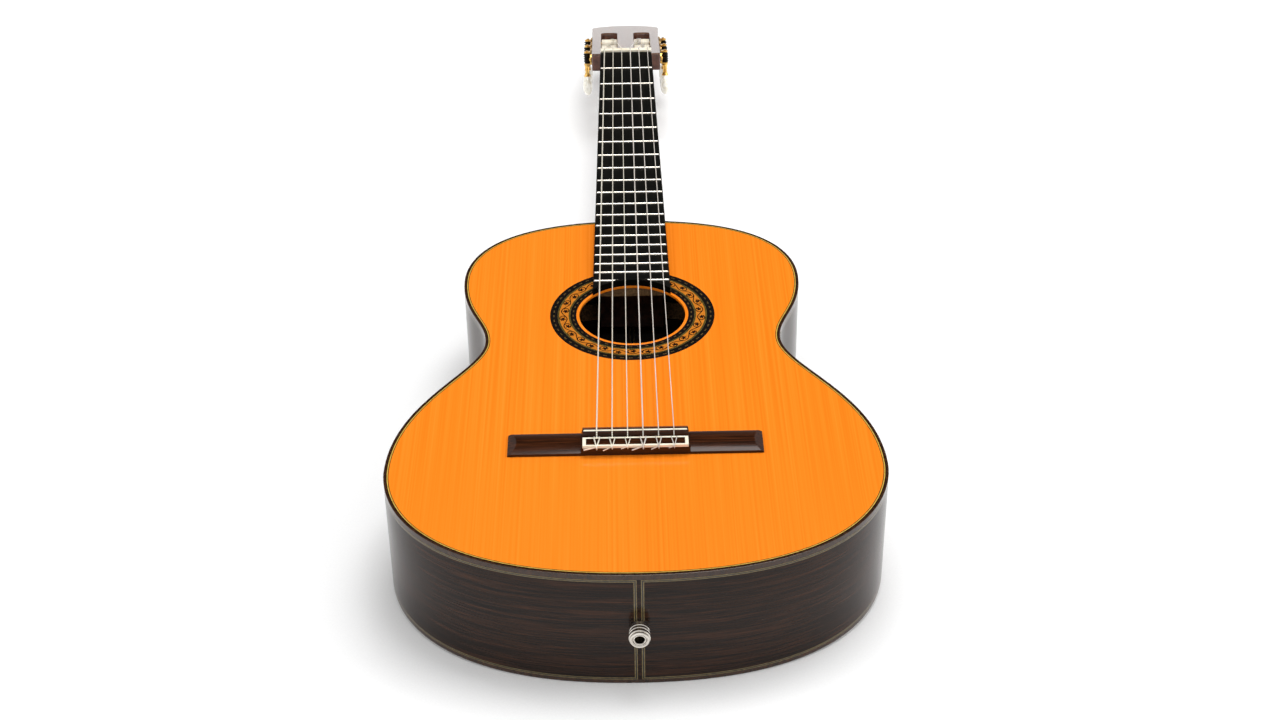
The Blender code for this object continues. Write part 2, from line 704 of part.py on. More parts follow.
def heel_shape(distance):
    """The neck's depth, its keel's half width and its side's taper at this distance."""
    heel_start = NECK_END - HEEL_LENGTH
    flat_start = NECK_END - HEEL_CAP_LENGTH
    full = BODY_DEPTH - HEEL_CAP_THICKNESS - GAP
    shaft = NECK_DEPTH_AT_NUT
    shaft += (NECK_DEPTH_AT_HEEL - NECK_DEPTH_AT_NUT) * min(max(distance / heel_start, 0), 1)
    sweep = min(max((distance - heel_start) / (flat_start - heel_start), 0), 1)
    depth = shaft + (full - shaft) * sweep**HEEL_SWEEP
    cap = min(max((distance - flat_start) / HEEL_CAP_LENGTH, 0), 1)
    keel = NECK_KEEL_HALF + (HEEL_CAP_HALF - NECK_KEEL_HALF) * math.sqrt(cap)
    return depth, keel, 1 + HEEL_TAPER * sweep


def neck_section(distance):
    """The neck's cross-section as (x, depth) points: flat on top, round below."""
    depth, keel, taper = heel_shape(distance)
    half = board_half(distance)
    right = []
    for i in range(SECTION_STEPS + 1):
        turn = 0.5 * math.pi * i / SECTION_STEPS
        x = keel + (half - keel) * max(math.cos(turn), 0.0) ** taper
        right.append((x, depth * math.sin(turn)))
    return right + [(-x, z) for x, z in reversed(right)]


def make_neck():
    flat_start = NECK_END - HEEL_CAP_LENGTH
    heel_start = NECK_END - HEEL_LENGTH
    sweep = flat_start - heel_start
    places = [heel_start / 2]
    places += [heel_start + sweep * i / HEEL_STEPS for i in range(HEEL_STEPS + 1)]
    places += [flat_start + HEEL_CAP_LENGTH * share for share in HEEL_CAP_SHARES[1:]]
    first = [(x, slanted_end(HEAD_START, -z), BODY_DEPTH - z) for x, z in neck_section(0.0)]
    rings = [first]
    for place_along in places:
        section = neck_section(place_along)
        rings.append([(x, along(place_along), BODY_DEPTH - z) for x, z in section])
    bm = bmesh.new()
    loft(bm, rings)
    neck = solid("neck", bm, "cedar")

    root = NECK_END - GAP
    corner = cut_sample(HALF[: WIDEST + 1], FOOT_HALF, Vector((0.0, 1.0)))[0].y
    leg = BODY_TOP + corner + BINDING_LEG + GAP
    heights = BODY_DEPTH - RIB_TOP, BODY_DEPTH - UNDER_BOARD
    profile = [
        (root, heights[0]),
        (leg, heights[0]),
        (leg, heights[1]),
        (BODY_TOP + FOOT_LENGTH, heights[1]),
        (BODY_TOP + FOOT_LENGTH, SLIPPER_ROOT_HEIGHT),
        (BODY_TOP + SLIPPER_LENGTH, SLIPPER_HEIGHT),
        (BODY_TOP + SLIPPER_LENGTH, OVER_BACK),
        (leg, OVER_BACK),
        (leg, RIB_LOW),
        (root, RIB_LOW),
    ]
    foot = bmesh.new()
    loft(foot, [[(x, along(d), z) for d, z in profile] for x in (-FOOT_HALF, FOOT_HALF)])
    boolean(neck, solid("neck_foot_helper", foot), "UNION")

    cap_places = [flat_start + HEEL_CAP_LENGTH * share for share in HEEL_CAP_SHARES]
    right = [(heel_shape(d)[1], d) for d in cap_places]
    outline = [(x, along(d)) for x, d in right] + [(-x, along(d)) for x, d in reversed(right)]
    cap = bmesh.new()
    prism(cap, outline, 0.0, HEEL_CAP_THICKNESS)
    solid("heel_cap", cap, "rosewood")


def slanted_end(head_place, height):
    """The Y of the plane across the head's face at this place, at a height above the soundboard."""
    rise = height - HEAD_FACE_HEIGHT
    return NUT_Y + (head_place + rise * math.sin(HEAD_TILT)) / math.cos(HEAD_TILT)


def make_fingerboard():
    low = BODY_DEPTH + GAP
    high = BODY_DEPTH + FINGERBOARD_THICKNESS
    far = SOUNDHOLE_AT
    corners = [(board_half(d), along(d)) for d in (0.0, far)]
    bm = bmesh.new()
    prism(bm, corners + [(-x, y) for x, y in reversed(corners)], low, high)
    board = solid("fingerboard", bm, "ebony", smooth=False)

    frets = bmesh.new()
    for number in range(1, FRET_COUNT + 1):
        distance = SCALE_LENGTH * (1 - 2 ** (-number / 12))
        half = board_half(distance - FRET_WIDTH / 2) - FRET_END_MARGIN
        y = along(distance)
        bottom = (-half, y - FRET_WIDTH / 2, high - FRET_HEIGHT)
        box(frets, bottom, (half, y + FRET_WIDTH / 2, high + FRET_HEIGHT))
    boolean(board, solid("fret_helper", frets), "UNION")
    end = bmesh.new()
    center = (0.0, along(SOUNDHOLE_AT))
    prism(end, circle(SOUNDHOLE_RADIUS, ROUND_STEPS, center), BODY_DEPTH, high + CUT_CLEARANCE)
    boolean(board, solid("fingerboard_end_cutter", end), "DIFFERENCE")

    nut = bmesh.new()
    low_corner = (-NUT_HALF, NUT_Y + GAP, low)
    box(nut, low_corner, (NUT_HALF, NUT_Y + NUT_THICKNESS, BODY_DEPTH + NUT_HEIGHT))
    solid("nut", nut, "bone")


# ------------------------------------------------------------ head


def head_outline():
    """The head's outline in its face, as (x, place) points from the nut end round."""
    start = HEAD_START + GAP
    corner = SLOT_END + CREST_MARGIN
    wide = HEAD_HALF + HEAD_FLARE
    right = [
        (NUT_HALF, start),
        (NUT_HALF, SHOULDER_PLACE),
        (HEAD_HALF - SHOULDER_SLOPE / 2, SHOULDER_PLACE + SHOULDER_SLOPE / 2),
        (HEAD_HALF, SHOULDER_PLACE + SHOULDER_SLOPE),
        (HEAD_HALF, SLOT_END + SHOULDER_PLACE),
        (wide, corner - CORNER_CHAMFER),
    ]
    half = wide - CORNER_CHAMFER
    radius = (half * half + CREST_RISE * CREST_RISE) / (2 * CREST_RISE)
    reach = math.asin(half / radius)
    crest = []
    for i in range(CREST_STEPS + 1):
        turn = reach * (1 - 2 * i / CREST_STEPS)
        rise = radius * (math.cos(turn) - math.cos(reach))
        crest.append((radius * math.sin(turn), corner - GAP + rise))
    return right + crest + [(-x, u) for x, u in reversed(right)]


def make_head(frame):
    outline = head_outline()
    bm = bmesh.new()
    prism(bm, outline, -HEAD_THICKNESS, -VENEER_THICKNESS - GAP)
    head = solid("headstock", bm, "cedar", frame)
    bm = bmesh.new()
    prism(bm, outline, -VENEER_THICKNESS, 0.0)
    veneer = solid("head_veneer", bm, "rosewood", frame)

    slots = bmesh.new()
    radius = SLOT_WIDTH / 2
    for side in (-1, 1):
        middle = side * (SPINE_HALF + radius)
        outline = []
        for end, base in ((SLOT_START + radius, math.pi), (SLOT_END - radius, 0.0)):
            for i in range(7):
                turn = base + math.pi * i / 6
                outline.append((middle + radius * math.cos(turn), end + radius * math.sin(turn)))
        prism(slots, outline, -2 * HEAD_THICKNESS, HEAD_THICKNESS)
    cutter = solid("slot_cutter", slots, None, frame)
    boolean(head, cutter, "DIFFERENCE")
    boolean(veneer, cutter, "DIFFERENCE")

    bores = bmesh.new()
    bore_radius = JOURNAL_RADIUS + SHAFT_CLEARANCE
    for side in (-1, 1):
        start = side * (SPINE_HALF - PIN_LENGTH - GAP)
        stop = side * 2 * HEAD_HALF
        for i in range(3):
            center = (FIRST_POST + i * POST_PITCH, -POST_DEPTH)
            cylinder_x(bores, start, stop, center, bore_radius, POST_SIDES)
    bore_cutter = solid("post_bore_cutter", bores, None, frame)
    boolean(head, bore_cutter, "DIFFERENCE")
    for label, side in (("bass", -1), ("treble", 1)):
        make_plate("tuner_plate_" + label, side, bore_cutter, frame)


def make_plate(name, side, bore_cutter, frame):
    """A side plate with two lugs at each worm, all bored for the shafts."""
    middle = -POST_DEPTH
    inside = HEAD_HALF + GAP
    bm = bmesh.new()
    low = (inside, FIRST_POST - PLATE_NUT_MARGIN, middle - PLATE_HALF_WIDTH)
    high = (PLATE_OUTSIDE, LAST_POST + PLATE_CREST_MARGIN, middle + PLATE_HALF_WIDTH)
    box(bm, low, high)
    lugs = bmesh.new()
    holes = bmesh.new()
    inner_face = WORM_HALF_LENGTH + GAP
    for i in range(3):
        worm = FIRST_POST + i * POST_PITCH - WORM_OFFSET
        for end in (-1, 1):
            faces = sorted((middle + end * inner_face, middle + end * (inner_face + LUG_THICKNESS)))
            corner = (PLATE_OUTSIDE - PLATE_THICKNESS / 2, worm - LUG_HALF_WIDTH, faces[0])
            box(lugs, corner, (WORM_X + LUG_HALF_WIDTH, worm + LUG_HALF_WIDTH, faces[1]))
        hole = circle(WORM_SHAFT_RADIUS + SHAFT_CLEARANCE, KNOB_SIDES, (WORM_X, worm))
        prism(holes, hole, middle - 2 * WORM_HALF_LENGTH, middle + 2 * WORM_HALF_LENGTH)
    for part in (bm, lugs, holes):
        for vert in part.verts:
            vert.co.x *= side
    plate = solid(name, bm, "gold", frame, smooth=False)
    boolean(plate, solid(name + "_lug_helper", lugs, None, frame), "UNION")
    boolean(plate, solid(name + "_hole_cutter", holes, None, frame), "DIFFERENCE")
    boolean(plate, bore_cutter, "DIFFERENCE")


def make_tuner(number, frame):
    """The post, gear and worm knob of one string."""
    side = -1 if number > 3 else 1
    order = 6 - number if number > 3 else number - 1
    center = FIRST_POST + order * POST_PITCH
    profile = [
        (SPINE_HALF - PIN_LENGTH, PIN_RADIUS),
        (SPINE_HALF + GAP, PIN_RADIUS),
        (SPINE_HALF + GAP, ROLLER_RADIUS),
        (SPINE_HALF + SLOT_WIDTH - GAP, ROLLER_RADIUS),
        (SPINE_HALF + SLOT_WIDTH - GAP, JOURNAL_RADIUS),
        (GEAR_INSIDE - GAP, JOURNAL_RADIUS),
        (GEAR_INSIDE - GAP, GEAR_SHAFT_RADIUS),
        (GEAR_OUTSIDE + GAP, GEAR_SHAFT_RADIUS),
        (GEAR_OUTSIDE + GAP, SCREW_RADIUS),
        (GEAR_OUTSIDE + GAP + SCREW_HEIGHT, SCREW_RADIUS),
    ]
    rings = [[(side * x, u, w) for u, w in circle(r, POST_SIDES)] for x, r in profile]
    bm = bmesh.new()
    loft(bm, rings)
    axis = (0.0, center, -POST_DEPTH)
    solid("string_post_" + str(number), bm, "pearl", frame, axis)

    teeth = []
    for i in range(2 * GEAR_TEETH):
        turn = math.pi * i / GEAR_TEETH
        radius = GEAR_RADIUS - (i % 2) * GEAR_TOOTH_DEPTH
        teeth.append((radius * math.cos(turn), radius * math.sin(turn)))
    wheel = bmesh.new()
    loft(wheel, [[(side * x, u, w) for u, w in teeth] for x in (GEAR_INSIDE, GEAR_OUTSIDE)])
    gear = solid("gear_" + str(number), wheel, "black_metal", frame, axis, smooth=False)
    bore = bmesh.new()
    reach = GEAR_INSIDE / 2, 2 * GEAR_OUTSIDE
    radius = GEAR_SHAFT_RADIUS + SHAFT_CLEARANCE
    cylinder_x(bore, side * reach[0], side * reach[1], (0, 0), radius, POST_SIDES)
    boolean(gear, solid("gear_bore_cutter_" + str(number), bore, None, frame, axis), "DIFFERENCE")

    solid(
        "tuner_knob_" + str(number),
        knob_body(),
        "pearl",
        frame,
        (side * WORM_X, center - WORM_OFFSET, -POST_DEPTH),
    )


def knob_body():
    """Worm, shaft, collar and oval button as one turned piece along Z."""
    lug = WORM_HALF_LENGTH + GAP + LUG_THICKNESS
    shaft, worm = WORM_SHAFT_RADIUS, WORM_RADIUS
    collar = -lug - GAP
    top = collar - COLLAR_LENGTH
    stations = [
        (lug + GAP, shaft, shaft),
        (WORM_HALF_LENGTH, shaft, shaft),
        (WORM_HALF_LENGTH, worm, worm),
        (-WORM_HALF_LENGTH, worm, worm),
        (-WORM_HALF_LENGTH, shaft, shaft),
        (collar, shaft, shaft),
        (collar, COLLAR_RADIUS, COLLAR_RADIUS),
        (top, COLLAR_RADIUS, COLLAR_RADIUS),
    ]
    for share, width in BUTTON_SHAPE:
        z = top - GAP - BUTTON_LENGTH * share
        stations.append((z, BUTTON_HALF_THICKNESS * width, BUTTON_HALF_WIDTH * width))
    bm = bmesh.new()
    rings = []
    for z, across, wide in stations:
        rings.append([(across * x, wide * y, z) for x, y in circle(1.0, KNOB_SIDES)])
    loft(bm, rings)
    return bm


# ------------------------------------------------------------ bridge, strings and jack


def bridge_section(x, wing, crown, shrink):
    """The bridge's cross-section at this x: a flat wing, the saddle's ridge and the tie
    block, or the block with its raised middle."""
    slot = SADDLE_THICKNESS / 2 + GAP
    middle = SADDLE_COMPENSATION + BRIDGE_FRONT
    ridge, channel = (wing, wing) if wing else (RIDGE_HEIGHT, CHANNEL_HEIGHT)
    shelf = wing or TIE_BLOCK_SHELF
    island = wing or (TIE_BLOCK_TOP if crown else TIE_BLOCK_SHELF)
    floor = wing or PICKUP_FLOOR
    trim = TRIM_BAR + GAP
    shape = [
        (0.0, GAP),
        (0.0, WING_NOSE * (wing or WING_HEIGHT)),
        (RIDGE_SLOPE, wing or RIDGE_NOSE * ridge),
        (middle - slot - STEP, ridge),
        (middle - slot, floor),
        (middle + slot, floor),
        (middle + slot + STEP, ridge),
        (middle + slot + RIDGE_BACK, ridge),
        (middle + slot + RIDGE_BACK + STEP_SLOPE, channel),
        (BLOCK_FRONT - STEP, channel),
        (BLOCK_FRONT, shelf),
        (BLOCK_FRONT + trim, shelf),
        (BLOCK_FRONT + trim + STEP, island),
        (BRIDGE_DEPTH - trim - STEP, island),
        (BRIDGE_DEPTH - trim, shelf),
        (BRIDGE_DEPTH, WING_TAIL * wing if wing else shelf),
        (BRIDGE_DEPTH, GAP),
    ]
    half = BRIDGE_DEPTH / 2
    return [(x, along(BRIDGE_AT + half + (d - half) * shrink), BODY_DEPTH + z) for d, z in shape]


def make_bridge():
    ends = [(BRIDGE_HALF - inward, wing, False, share) for inward, wing, share in WING_TIPS]
    ends += [(TIE_BLOCK_HALF + outward, WING_HEIGHT, False, 1.0) for outward in WING_ROOT]
    ends += [
        (TIE_BLOCK_HALF, None, False, 1.0),
        (TIE_BLOCK_HALF - TRIM_END - GAP, None, False, 1.0),
        (TIE_BLOCK_HALF - TRIM_END - 2 * GAP, None, True, 1.0),
    ]
    sections = [bridge_section(-x, wing, crown, k) for x, wing, crown, k in ends]
    sections += [bridge_section(x, wing, crown, k) for x, wing, crown, k in reversed(ends)]
    bm = bmesh.new()
    loft(bm, sections)
    bridge = solid("bridge", bm, "rosewood", smooth=False)

    holes = bmesh.new()
    for number, radius in enumerate(STRING_RADII, start=1):
        center = (string_x(number, SADDLE_SPREAD), BODY_DEPTH + TIE_HOLE_HEIGHT)
        start = along(BRIDGE_AT + BLOCK_FRONT - 2 * GAP)
        stop = along(BRIDGE_AT + BRIDGE_DEPTH + 2 * GAP)
        cylinder_y(holes, stop, start, center, radius + 2 * GAP, TIE_HOLE_SIDES)
    boolean(bridge, solid("tie_hole_cutter", holes), "DIFFERENCE")

    trim = bmesh.new()
    outer_y = along(BRIDGE_AT + BLOCK_FRONT), along(BRIDGE_AT + BRIDGE_DEPTH)
    outer = (TIE_BLOCK_HALF, *outer_y)
    inner = (TIE_BLOCK_HALF - TRIM_END, outer_y[0] - TRIM_BAR, outer_y[1] + TRIM_BAR)
    low = BODY_DEPTH + TIE_BLOCK_SHELF + GAP
    high = BODY_DEPTH + TIE_BLOCK_TOP
    rings = []
    for sx, end in ((-1, 0), (1, 0), (1, 1), (-1, 1)):
        a = (sx * outer[0], outer[1 + end])
        b = (sx * inner[0], inner[1 + end])
        rings.append([(*a, low), (*b, low), (*b, high), (*a, high)])
    loft(trim, rings, closed=True)
    solid("tie_block_trim", trim, "bone", smooth=False)

    floor = BODY_DEPTH + PICKUP_FLOOR + GAP
    half = SADDLE_THICKNESS / 2
    y = along(SADDLE_AT)
    pickup = bmesh.new()
    box(pickup, (-SADDLE_HALF, y - half, floor), (SADDLE_HALF, y + half, floor + PICKUP_THICKNESS))
    solid("saddle_pickup", pickup, "pickup", smooth=False)
    saddle = bmesh.new()
    low_corner = (-SADDLE_HALF, y - half, floor + PICKUP_THICKNESS + GAP)
    box(saddle, low_corner, (SADDLE_HALF, y + half, BODY_DEPTH + SADDLE_TOP))
    solid("saddle", saddle, "bone", smooth=False)


def string_x(number, spread):
    """The x of a string: the first is outermost at +X, the sixth at -X."""
    return (3.5 - number) * spread / 5


def head_point(x, place_along, above):
    """World coordinates of a point in the head's frame."""
    y = NUT_Y + place_along * math.cos(HEAD_TILT) + above * math.sin(HEAD_TILT)
    z = BODY_DEPTH + HEAD_FACE_HEIGHT
    z += above * math.cos(HEAD_TILT) - place_along * math.sin(HEAD_TILT)
    return (x, y, z)


def string_route(number):
    """A string from its tie on the block, over saddle and nut, round its roller."""
    radius = STRING_RADII[number - 1]
    side = -1 if number > 3 else 1
    order = 6 - number if number > 3 else number - 1
    bridge_x = string_x(number, SADDLE_SPREAD)
    nut_x = string_x(number, NUT_SPREAD)
    block_front = BRIDGE_AT + BLOCK_FRONT
    block_back = BRIDGE_AT + BRIDGE_DEPTH
    over = TIE_BLOCK_TOP + GAP + radius
    behind = block_back + radius + TIE_STANDOFF
    crest = STRING_AT_SADDLE + radius
    stations = [
        (block_front + TIE_TAIL_START, over),
        (block_back - GAP, over),
        (behind, over - TIE_BEND),
        (behind, TIE_HOLE_HEIGHT + TIE_BEND),
        (behind - TIE_BEND, TIE_HOLE_HEIGHT),
        (block_front - 2 * GAP, TIE_HOLE_HEIGHT),
        (SADDLE_AT + STRING_KNEE, crest),
        (SADDLE_AT - STRING_KNEE, crest),
    ]
    route = [(bridge_x, along(d), BODY_DEPTH + z) for d, z in stations]
    nut_height = BODY_DEPTH + STRING_AT_NUT + radius
    route.append((nut_x, NUT_Y, nut_height))
    route.append((nut_x, NUT_Y + NUT_THICKNESS + GAP, nut_height))

    coil = (ROLLER_RADIUS + GAP + radius) / math.cos(math.pi / COIL_STEPS)
    start = POST_CONTACTS[order]
    inward = -1 if order == 0 else 1
    post = FIRST_POST + order * POST_PITCH
    pitch = 2 * radius + GAP
    for i in range(COIL_STEPS + 2):
        turn = COIL_START - 2 * math.pi * i / COIL_STEPS
        x = side * (start + inward * pitch * i / COIL_STEPS)
        place_along = post + coil * math.cos(turn)
        route.append(head_point(x, place_along, coil * math.sin(turn) - POST_DEPTH))
    return route


def make_string(number):
    name = "string_" + str(number)
    data = bpy.data.curves.new(name, "CURVE")
    data.dimensions = "3D"
    data.bevel_depth = STRING_RADII[number - 1]
    data.bevel_resolution = 2
    data.use_fill_caps = True
    route = string_route(number)
    spline = data.splines.new("POLY")
    spline.points.add(len(route) - 1)
    for point, co in zip(spline.points, route):
        point.co = (*co, 1.0)
    data.materials.append(material("silver_wound" if number > 3 else "nylon"))
    place(name, data)


def turned_y(profile, sides):
    """A ring turned about the jack's axis from (outward distance, radius) points."""
    rings = []
    for i in range(sides):
        turn = 2 * math.pi * (i + 0.5) / sides
        ring = []
        for out, radius in profile:
            x = radius * math.cos(turn)
            z = JACK_HEIGHT + radius * math.sin(turn)
            ring.append((x, along(TAIL + out), z))
        rings.append(ring)
    bm = bmesh.new()
    loft(bm, rings, closed=True)
    return bm


def make_jack():
    """The end jack: barrel with its socket, ringed cap outside and nut inside."""
    face = GAP + JACK_CAP_LENGTH
    center = (0, JACK_HEIGHT)
    barrel = bmesh.new()
    start = along(TAIL + face)
    stop = start + JACK_BARREL_LENGTH + face
    cylinder_y(barrel, stop, start, center, JACK_BARREL_RADIUS, JACK_SIDES)
    socket = bmesh.new()
    stop = start + JACK_BORE_DEPTH
    cylinder_y(socket, stop, start - face, center, JACK_BORE_RADIUS, JACK_SIDES)
    obj = solid("jack_barrel", barrel, "nickel")
    boolean(obj, solid("jack_socket_cutter", socket), "DIFFERENCE")

    inner = JACK_BARREL_RADIUS + SHAFT_CLEARANCE
    outside = JACK_CAP_RADIUS
    waist = JACK_CAP_WAIST
    first, second, third, fourth, fifth = (face * share for share in JACK_CAP_SHARES)
    cap = [
        (GAP, inner),
        (GAP, outside),
        (first, outside),
        (second, waist),
        (third, waist),
        (fourth, outside),
        (fifth, outside),
        (face, outside - (face - fifth)),
        (face, inner),
    ]
    solid("jack_cap", turned_y(cap, JACK_SIDES), "nickel")
    near = block_face_at(JACK_NUT_RADIUS)
    ring = [
        (near, inner),
        (near, JACK_NUT_RADIUS),
        (near - JACK_NUT_THICKNESS, JACK_NUT_RADIUS),
        (near - JACK_NUT_THICKNESS, inner),
    ]
    solid("jack_nut", turned_y(ring, JACK_SIDES), "nickel")


def main():
    make_soundboard()
    make_back("back_bass", -1)
    make_back("back_treble", 1)
    make_edges()
    make_braces()
    make_neck()
    make_fingerboard()
    frame = place("head_frame", None, None, (0.0, NUT_Y, BODY_DEPTH + HEAD_FACE_HEIGHT))
    frame.rotation_euler.x = -HEAD_TILT
    make_head(frame)
    for number in range(1, 7):
        make_tuner(number, frame)
        make_string(number)
    make_bridge()
    make_jack()


main()
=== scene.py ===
"""A classical guitar with an orange-lacquered top, seen from its tail on a pale floor."""

import json
import math
from contextlib import contextmanager

import bmesh
import bpy
from mathutils import Matrix, Vector

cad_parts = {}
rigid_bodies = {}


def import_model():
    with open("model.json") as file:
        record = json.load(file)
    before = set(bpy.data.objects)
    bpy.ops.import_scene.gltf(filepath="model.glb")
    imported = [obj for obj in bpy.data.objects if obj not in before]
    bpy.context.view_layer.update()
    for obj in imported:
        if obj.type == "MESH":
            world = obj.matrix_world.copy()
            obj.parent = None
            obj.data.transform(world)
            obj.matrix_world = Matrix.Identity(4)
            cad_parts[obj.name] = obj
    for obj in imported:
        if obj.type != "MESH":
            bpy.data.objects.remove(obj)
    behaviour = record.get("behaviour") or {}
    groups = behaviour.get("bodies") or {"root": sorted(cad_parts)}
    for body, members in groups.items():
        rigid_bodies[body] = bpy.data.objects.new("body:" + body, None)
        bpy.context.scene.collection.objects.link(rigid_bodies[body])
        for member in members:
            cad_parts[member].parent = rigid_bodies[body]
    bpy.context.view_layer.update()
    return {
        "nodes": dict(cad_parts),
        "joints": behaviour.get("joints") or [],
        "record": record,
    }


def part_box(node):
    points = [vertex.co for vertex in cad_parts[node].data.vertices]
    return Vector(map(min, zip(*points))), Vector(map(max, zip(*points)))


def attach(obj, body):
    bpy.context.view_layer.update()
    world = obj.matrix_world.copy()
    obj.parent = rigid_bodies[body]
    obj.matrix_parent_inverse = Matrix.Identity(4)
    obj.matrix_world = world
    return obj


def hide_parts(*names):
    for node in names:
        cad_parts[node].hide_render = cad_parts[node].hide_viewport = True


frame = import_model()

MM = 0.001
BODY = "guitar_body"
MIRROR = Matrix.Scale(-1, 4, (1, 0, 0))

# ---------------------------------------------------------------- places from the frame

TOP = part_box("top_binding")[1].z
BODY_TOP_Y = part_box("top_binding")[1].y
TAIL_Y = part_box("top_binding")[0].y
LOWER_BOUT_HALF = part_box("top_binding")[1].x
NUT_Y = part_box("fingerboard")[1].y
BODY_LENGTH = BODY_TOP_Y - TAIL_Y
BODY_TOP = NUT_Y - BODY_TOP_Y  # distance from the nut to the body
SCALE_LENGTH = 2 * BODY_TOP
HOLE_Y = (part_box("rosette")[0].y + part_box("rosette")[1].y) / 2
ROSETTE_OUTER = (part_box("rosette")[1].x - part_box("rosette")[0].x) / 2 + 1.8 * MM
MOUNTS = {mount["name"]: mount for mount in frame["record"]["mounts"]}
JOINTS = {joint["name"]: joint for joint in frame["joints"]}
HEAD_UP = Vector(MOUNTS["head_face"]["axis"])
HEAD_TILT = math.atan2(HEAD_UP.y, HEAD_UP.z)
JACK_Z = (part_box("jack_cap")[0].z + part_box("jack_cap")[1].z) / 2

# ---------------------------------------------------------------- real sizes, in metres

UPPER_BOUT = (139.2 * MM, 95 * MM)  # half width, distance from the body's top edge
WAIST = (117.5 * MM, 188 * MM)
LOWER_BOUT_PLACE = 355 * MM
SHOULDER_RUN = 118 * MM  # how far the outline runs on straight at its turning points
UPPER_RUNS = (38 * MM, 49 * MM)
WAIST_RUNS = (29 * MM, 40 * MM)
LOWER_RUNS = (88.6 * MM, 30 * MM)
TAIL_RUN = 168 * MM
OUTLINE_STEPS = 40
BACK_FLAT_HALF = 35 * MM
BACK_ARCH_RADIUS = 2.8

BINDING = 2.0 * MM
PURFLING = (0.5 * MM, 0.8 * MM, 0.5 * MM)
PURFLING_DEPTH = 1.5 * MM
TOP_BINDING_HEIGHT = 4.4 * MM
BACK_BINDING_HEIGHT = 3.4 * MM
SIDE_LINES = (0.6 * MM, 0.7 * MM, 0.6 * MM)
RIB_THICKNESS = 2.2 * MM
BOARD_THICKNESS = 2.4 * MM
BACK_THICKNESS = 2.5 * MM
GRAFT_EDGES = (1.5 * MM, 2.15 * MM, 2.95 * MM, 3.65 * MM)

HOLE_RADIUS = 43 * MM
ROSETTE_RINGS = (45.6 * MM, 50.4 * MM, 51.8 * MM, 59.2 * MM, 60.6 * MM, ROSETTE_OUTER)

# ---------------------------------------------------------------- modelling helpers


def only(obj):
    """Selects this object and nothing else."""
    bpy.ops.object.select_all(action="DESELECT")
    obj.select_set(True)
    bpy.context.view_layer.objects.active = obj
    return obj


def added(operator, **settings):
    """Runs an operator that adds a shape, with nothing else selected, and returns the shape."""
    bpy.ops.object.select_all(action="DESELECT")
    operator(**settings)
    return bpy.context.object


def drop(*pieces):
    """Deletes the shapes that only helped to make others."""
    for piece in pieces:
        bpy.data.objects.remove(piece, do_unlink=True)


@contextmanager
def editing(obj):
    """Edit mode on this object, with all of a mesh selected at the start."""
    only(obj)
    bpy.ops.object.mode_set(mode="EDIT")
    if obj.type == "MESH":
        bpy.ops.mesh.select_all(action="SELECT")
    yield obj
    bpy.ops.object.mode_set(mode="OBJECT")


def modify(obj, kind, **settings):
    """Adds a modifier and applies it at once."""
    only(obj)
    modifier = obj.modifiers.new(kind, kind)
    for key, value in settings.items():
        setattr(modifier, key, value)
    bpy.ops.object.modifier_apply(modifier=modifier.name)
    return obj


def cut(obj, *cutters, operation="DIFFERENCE"):
    """Cuts the shapes away, or joins them, and deletes them."""
    for cutter in cutters:
        modify(obj, "BOOLEAN", operation=operation, solver="EXACT", object=cutter)
        drop(cutter)
    return obj


def soften(obj, width, segments=2, angle=40):
    """Rounds the edges that are sharper than this angle."""
    limit = math.radians(angle)
    return modify(obj, "BEVEL", width=width, segments=segments, limit_method="ANGLE", angle_limit=limit)


def tidy_normals(obj):
    """Merges doubled points and turns every face outwards."""
    with editing(obj):
        bpy.ops.mesh.remove_doubles(threshold=1e-6)
        bpy.ops.mesh.normals_make_consistent(inside=False)
    return obj


def finish(obj, name, material, body=BODY, stands_for=(), smooth=35):
    """Names a shaped piece, bakes its place into its mesh and ties it to its body."""
    only(obj)
    bpy.ops.object.transform_apply(location=True, rotation=True, scale=True)
    obj.name = name
    obj.data.name = name
    obj.data.materials.clear()
    obj.data.materials.append(material)
    bpy.ops.object.shade_smooth_by_angle(angle=math.radians(smooth))
    modify(obj, "WEIGHTED_NORMAL", keep_sharp=True)
    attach(obj, body)
    if stands_for:
        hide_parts(*stands_for)
    return obj


def polygon(points, z=0.0):
    """A flat face with these (x, y) corners, shaped from a circle."""
    circle = bpy.ops.mesh.primitive_circle_add
    obj = added(circle, vertices=len(points), fill_type="NGON", location=(0, 0, 0))
    for vert, (x, y) in zip(obj.data.vertices, points):
        vert.co = (x, y, z)
    return obj


def raise_by(obj, height):
    """Extrudes a flat piece into a solid, up or down."""
    with editing(obj):
        bpy.ops.mesh.extrude_region_move(TRANSFORM_OT_translate={"value": (0, 0, height)})
        bpy.ops.mesh.select_all(action="SELECT")
        bpy.ops.mesh.normals_make_consistent(inside=False)
    return obj


def block(low, high):
    """A cube stretched between two corners, as the start of a piece."""
    low, high = Vector(low), Vector(high)
    cube = bpy.ops.mesh.primitive_cube_add
    obj = added(cube, size=1, location=(low + high) / 2, scale=high - low)
    only(obj)
    bpy.ops.object.transform_apply(location=True, rotation=True, scale=True)
    return obj


def rod(start, stop, radius, sides=32):
    """A cylinder between two points, as the start of a piece or as a cutter."""
    bpy.ops.object.select_all(action="DESELECT")
    start, stop = Vector(start), Vector(stop)
    run = stop - start
    turn = run.to_track_quat("Z", "Y").to_euler()
    bpy.ops.mesh.primitive_cylinder_add(
        vertices=sides, radius=radius, depth=run.length, location=(start + stop) / 2, rotation=turn
    )
    obj = only(bpy.context.object)
    bpy.ops.object.transform_apply(location=True, rotation=True, scale=True)
    return obj


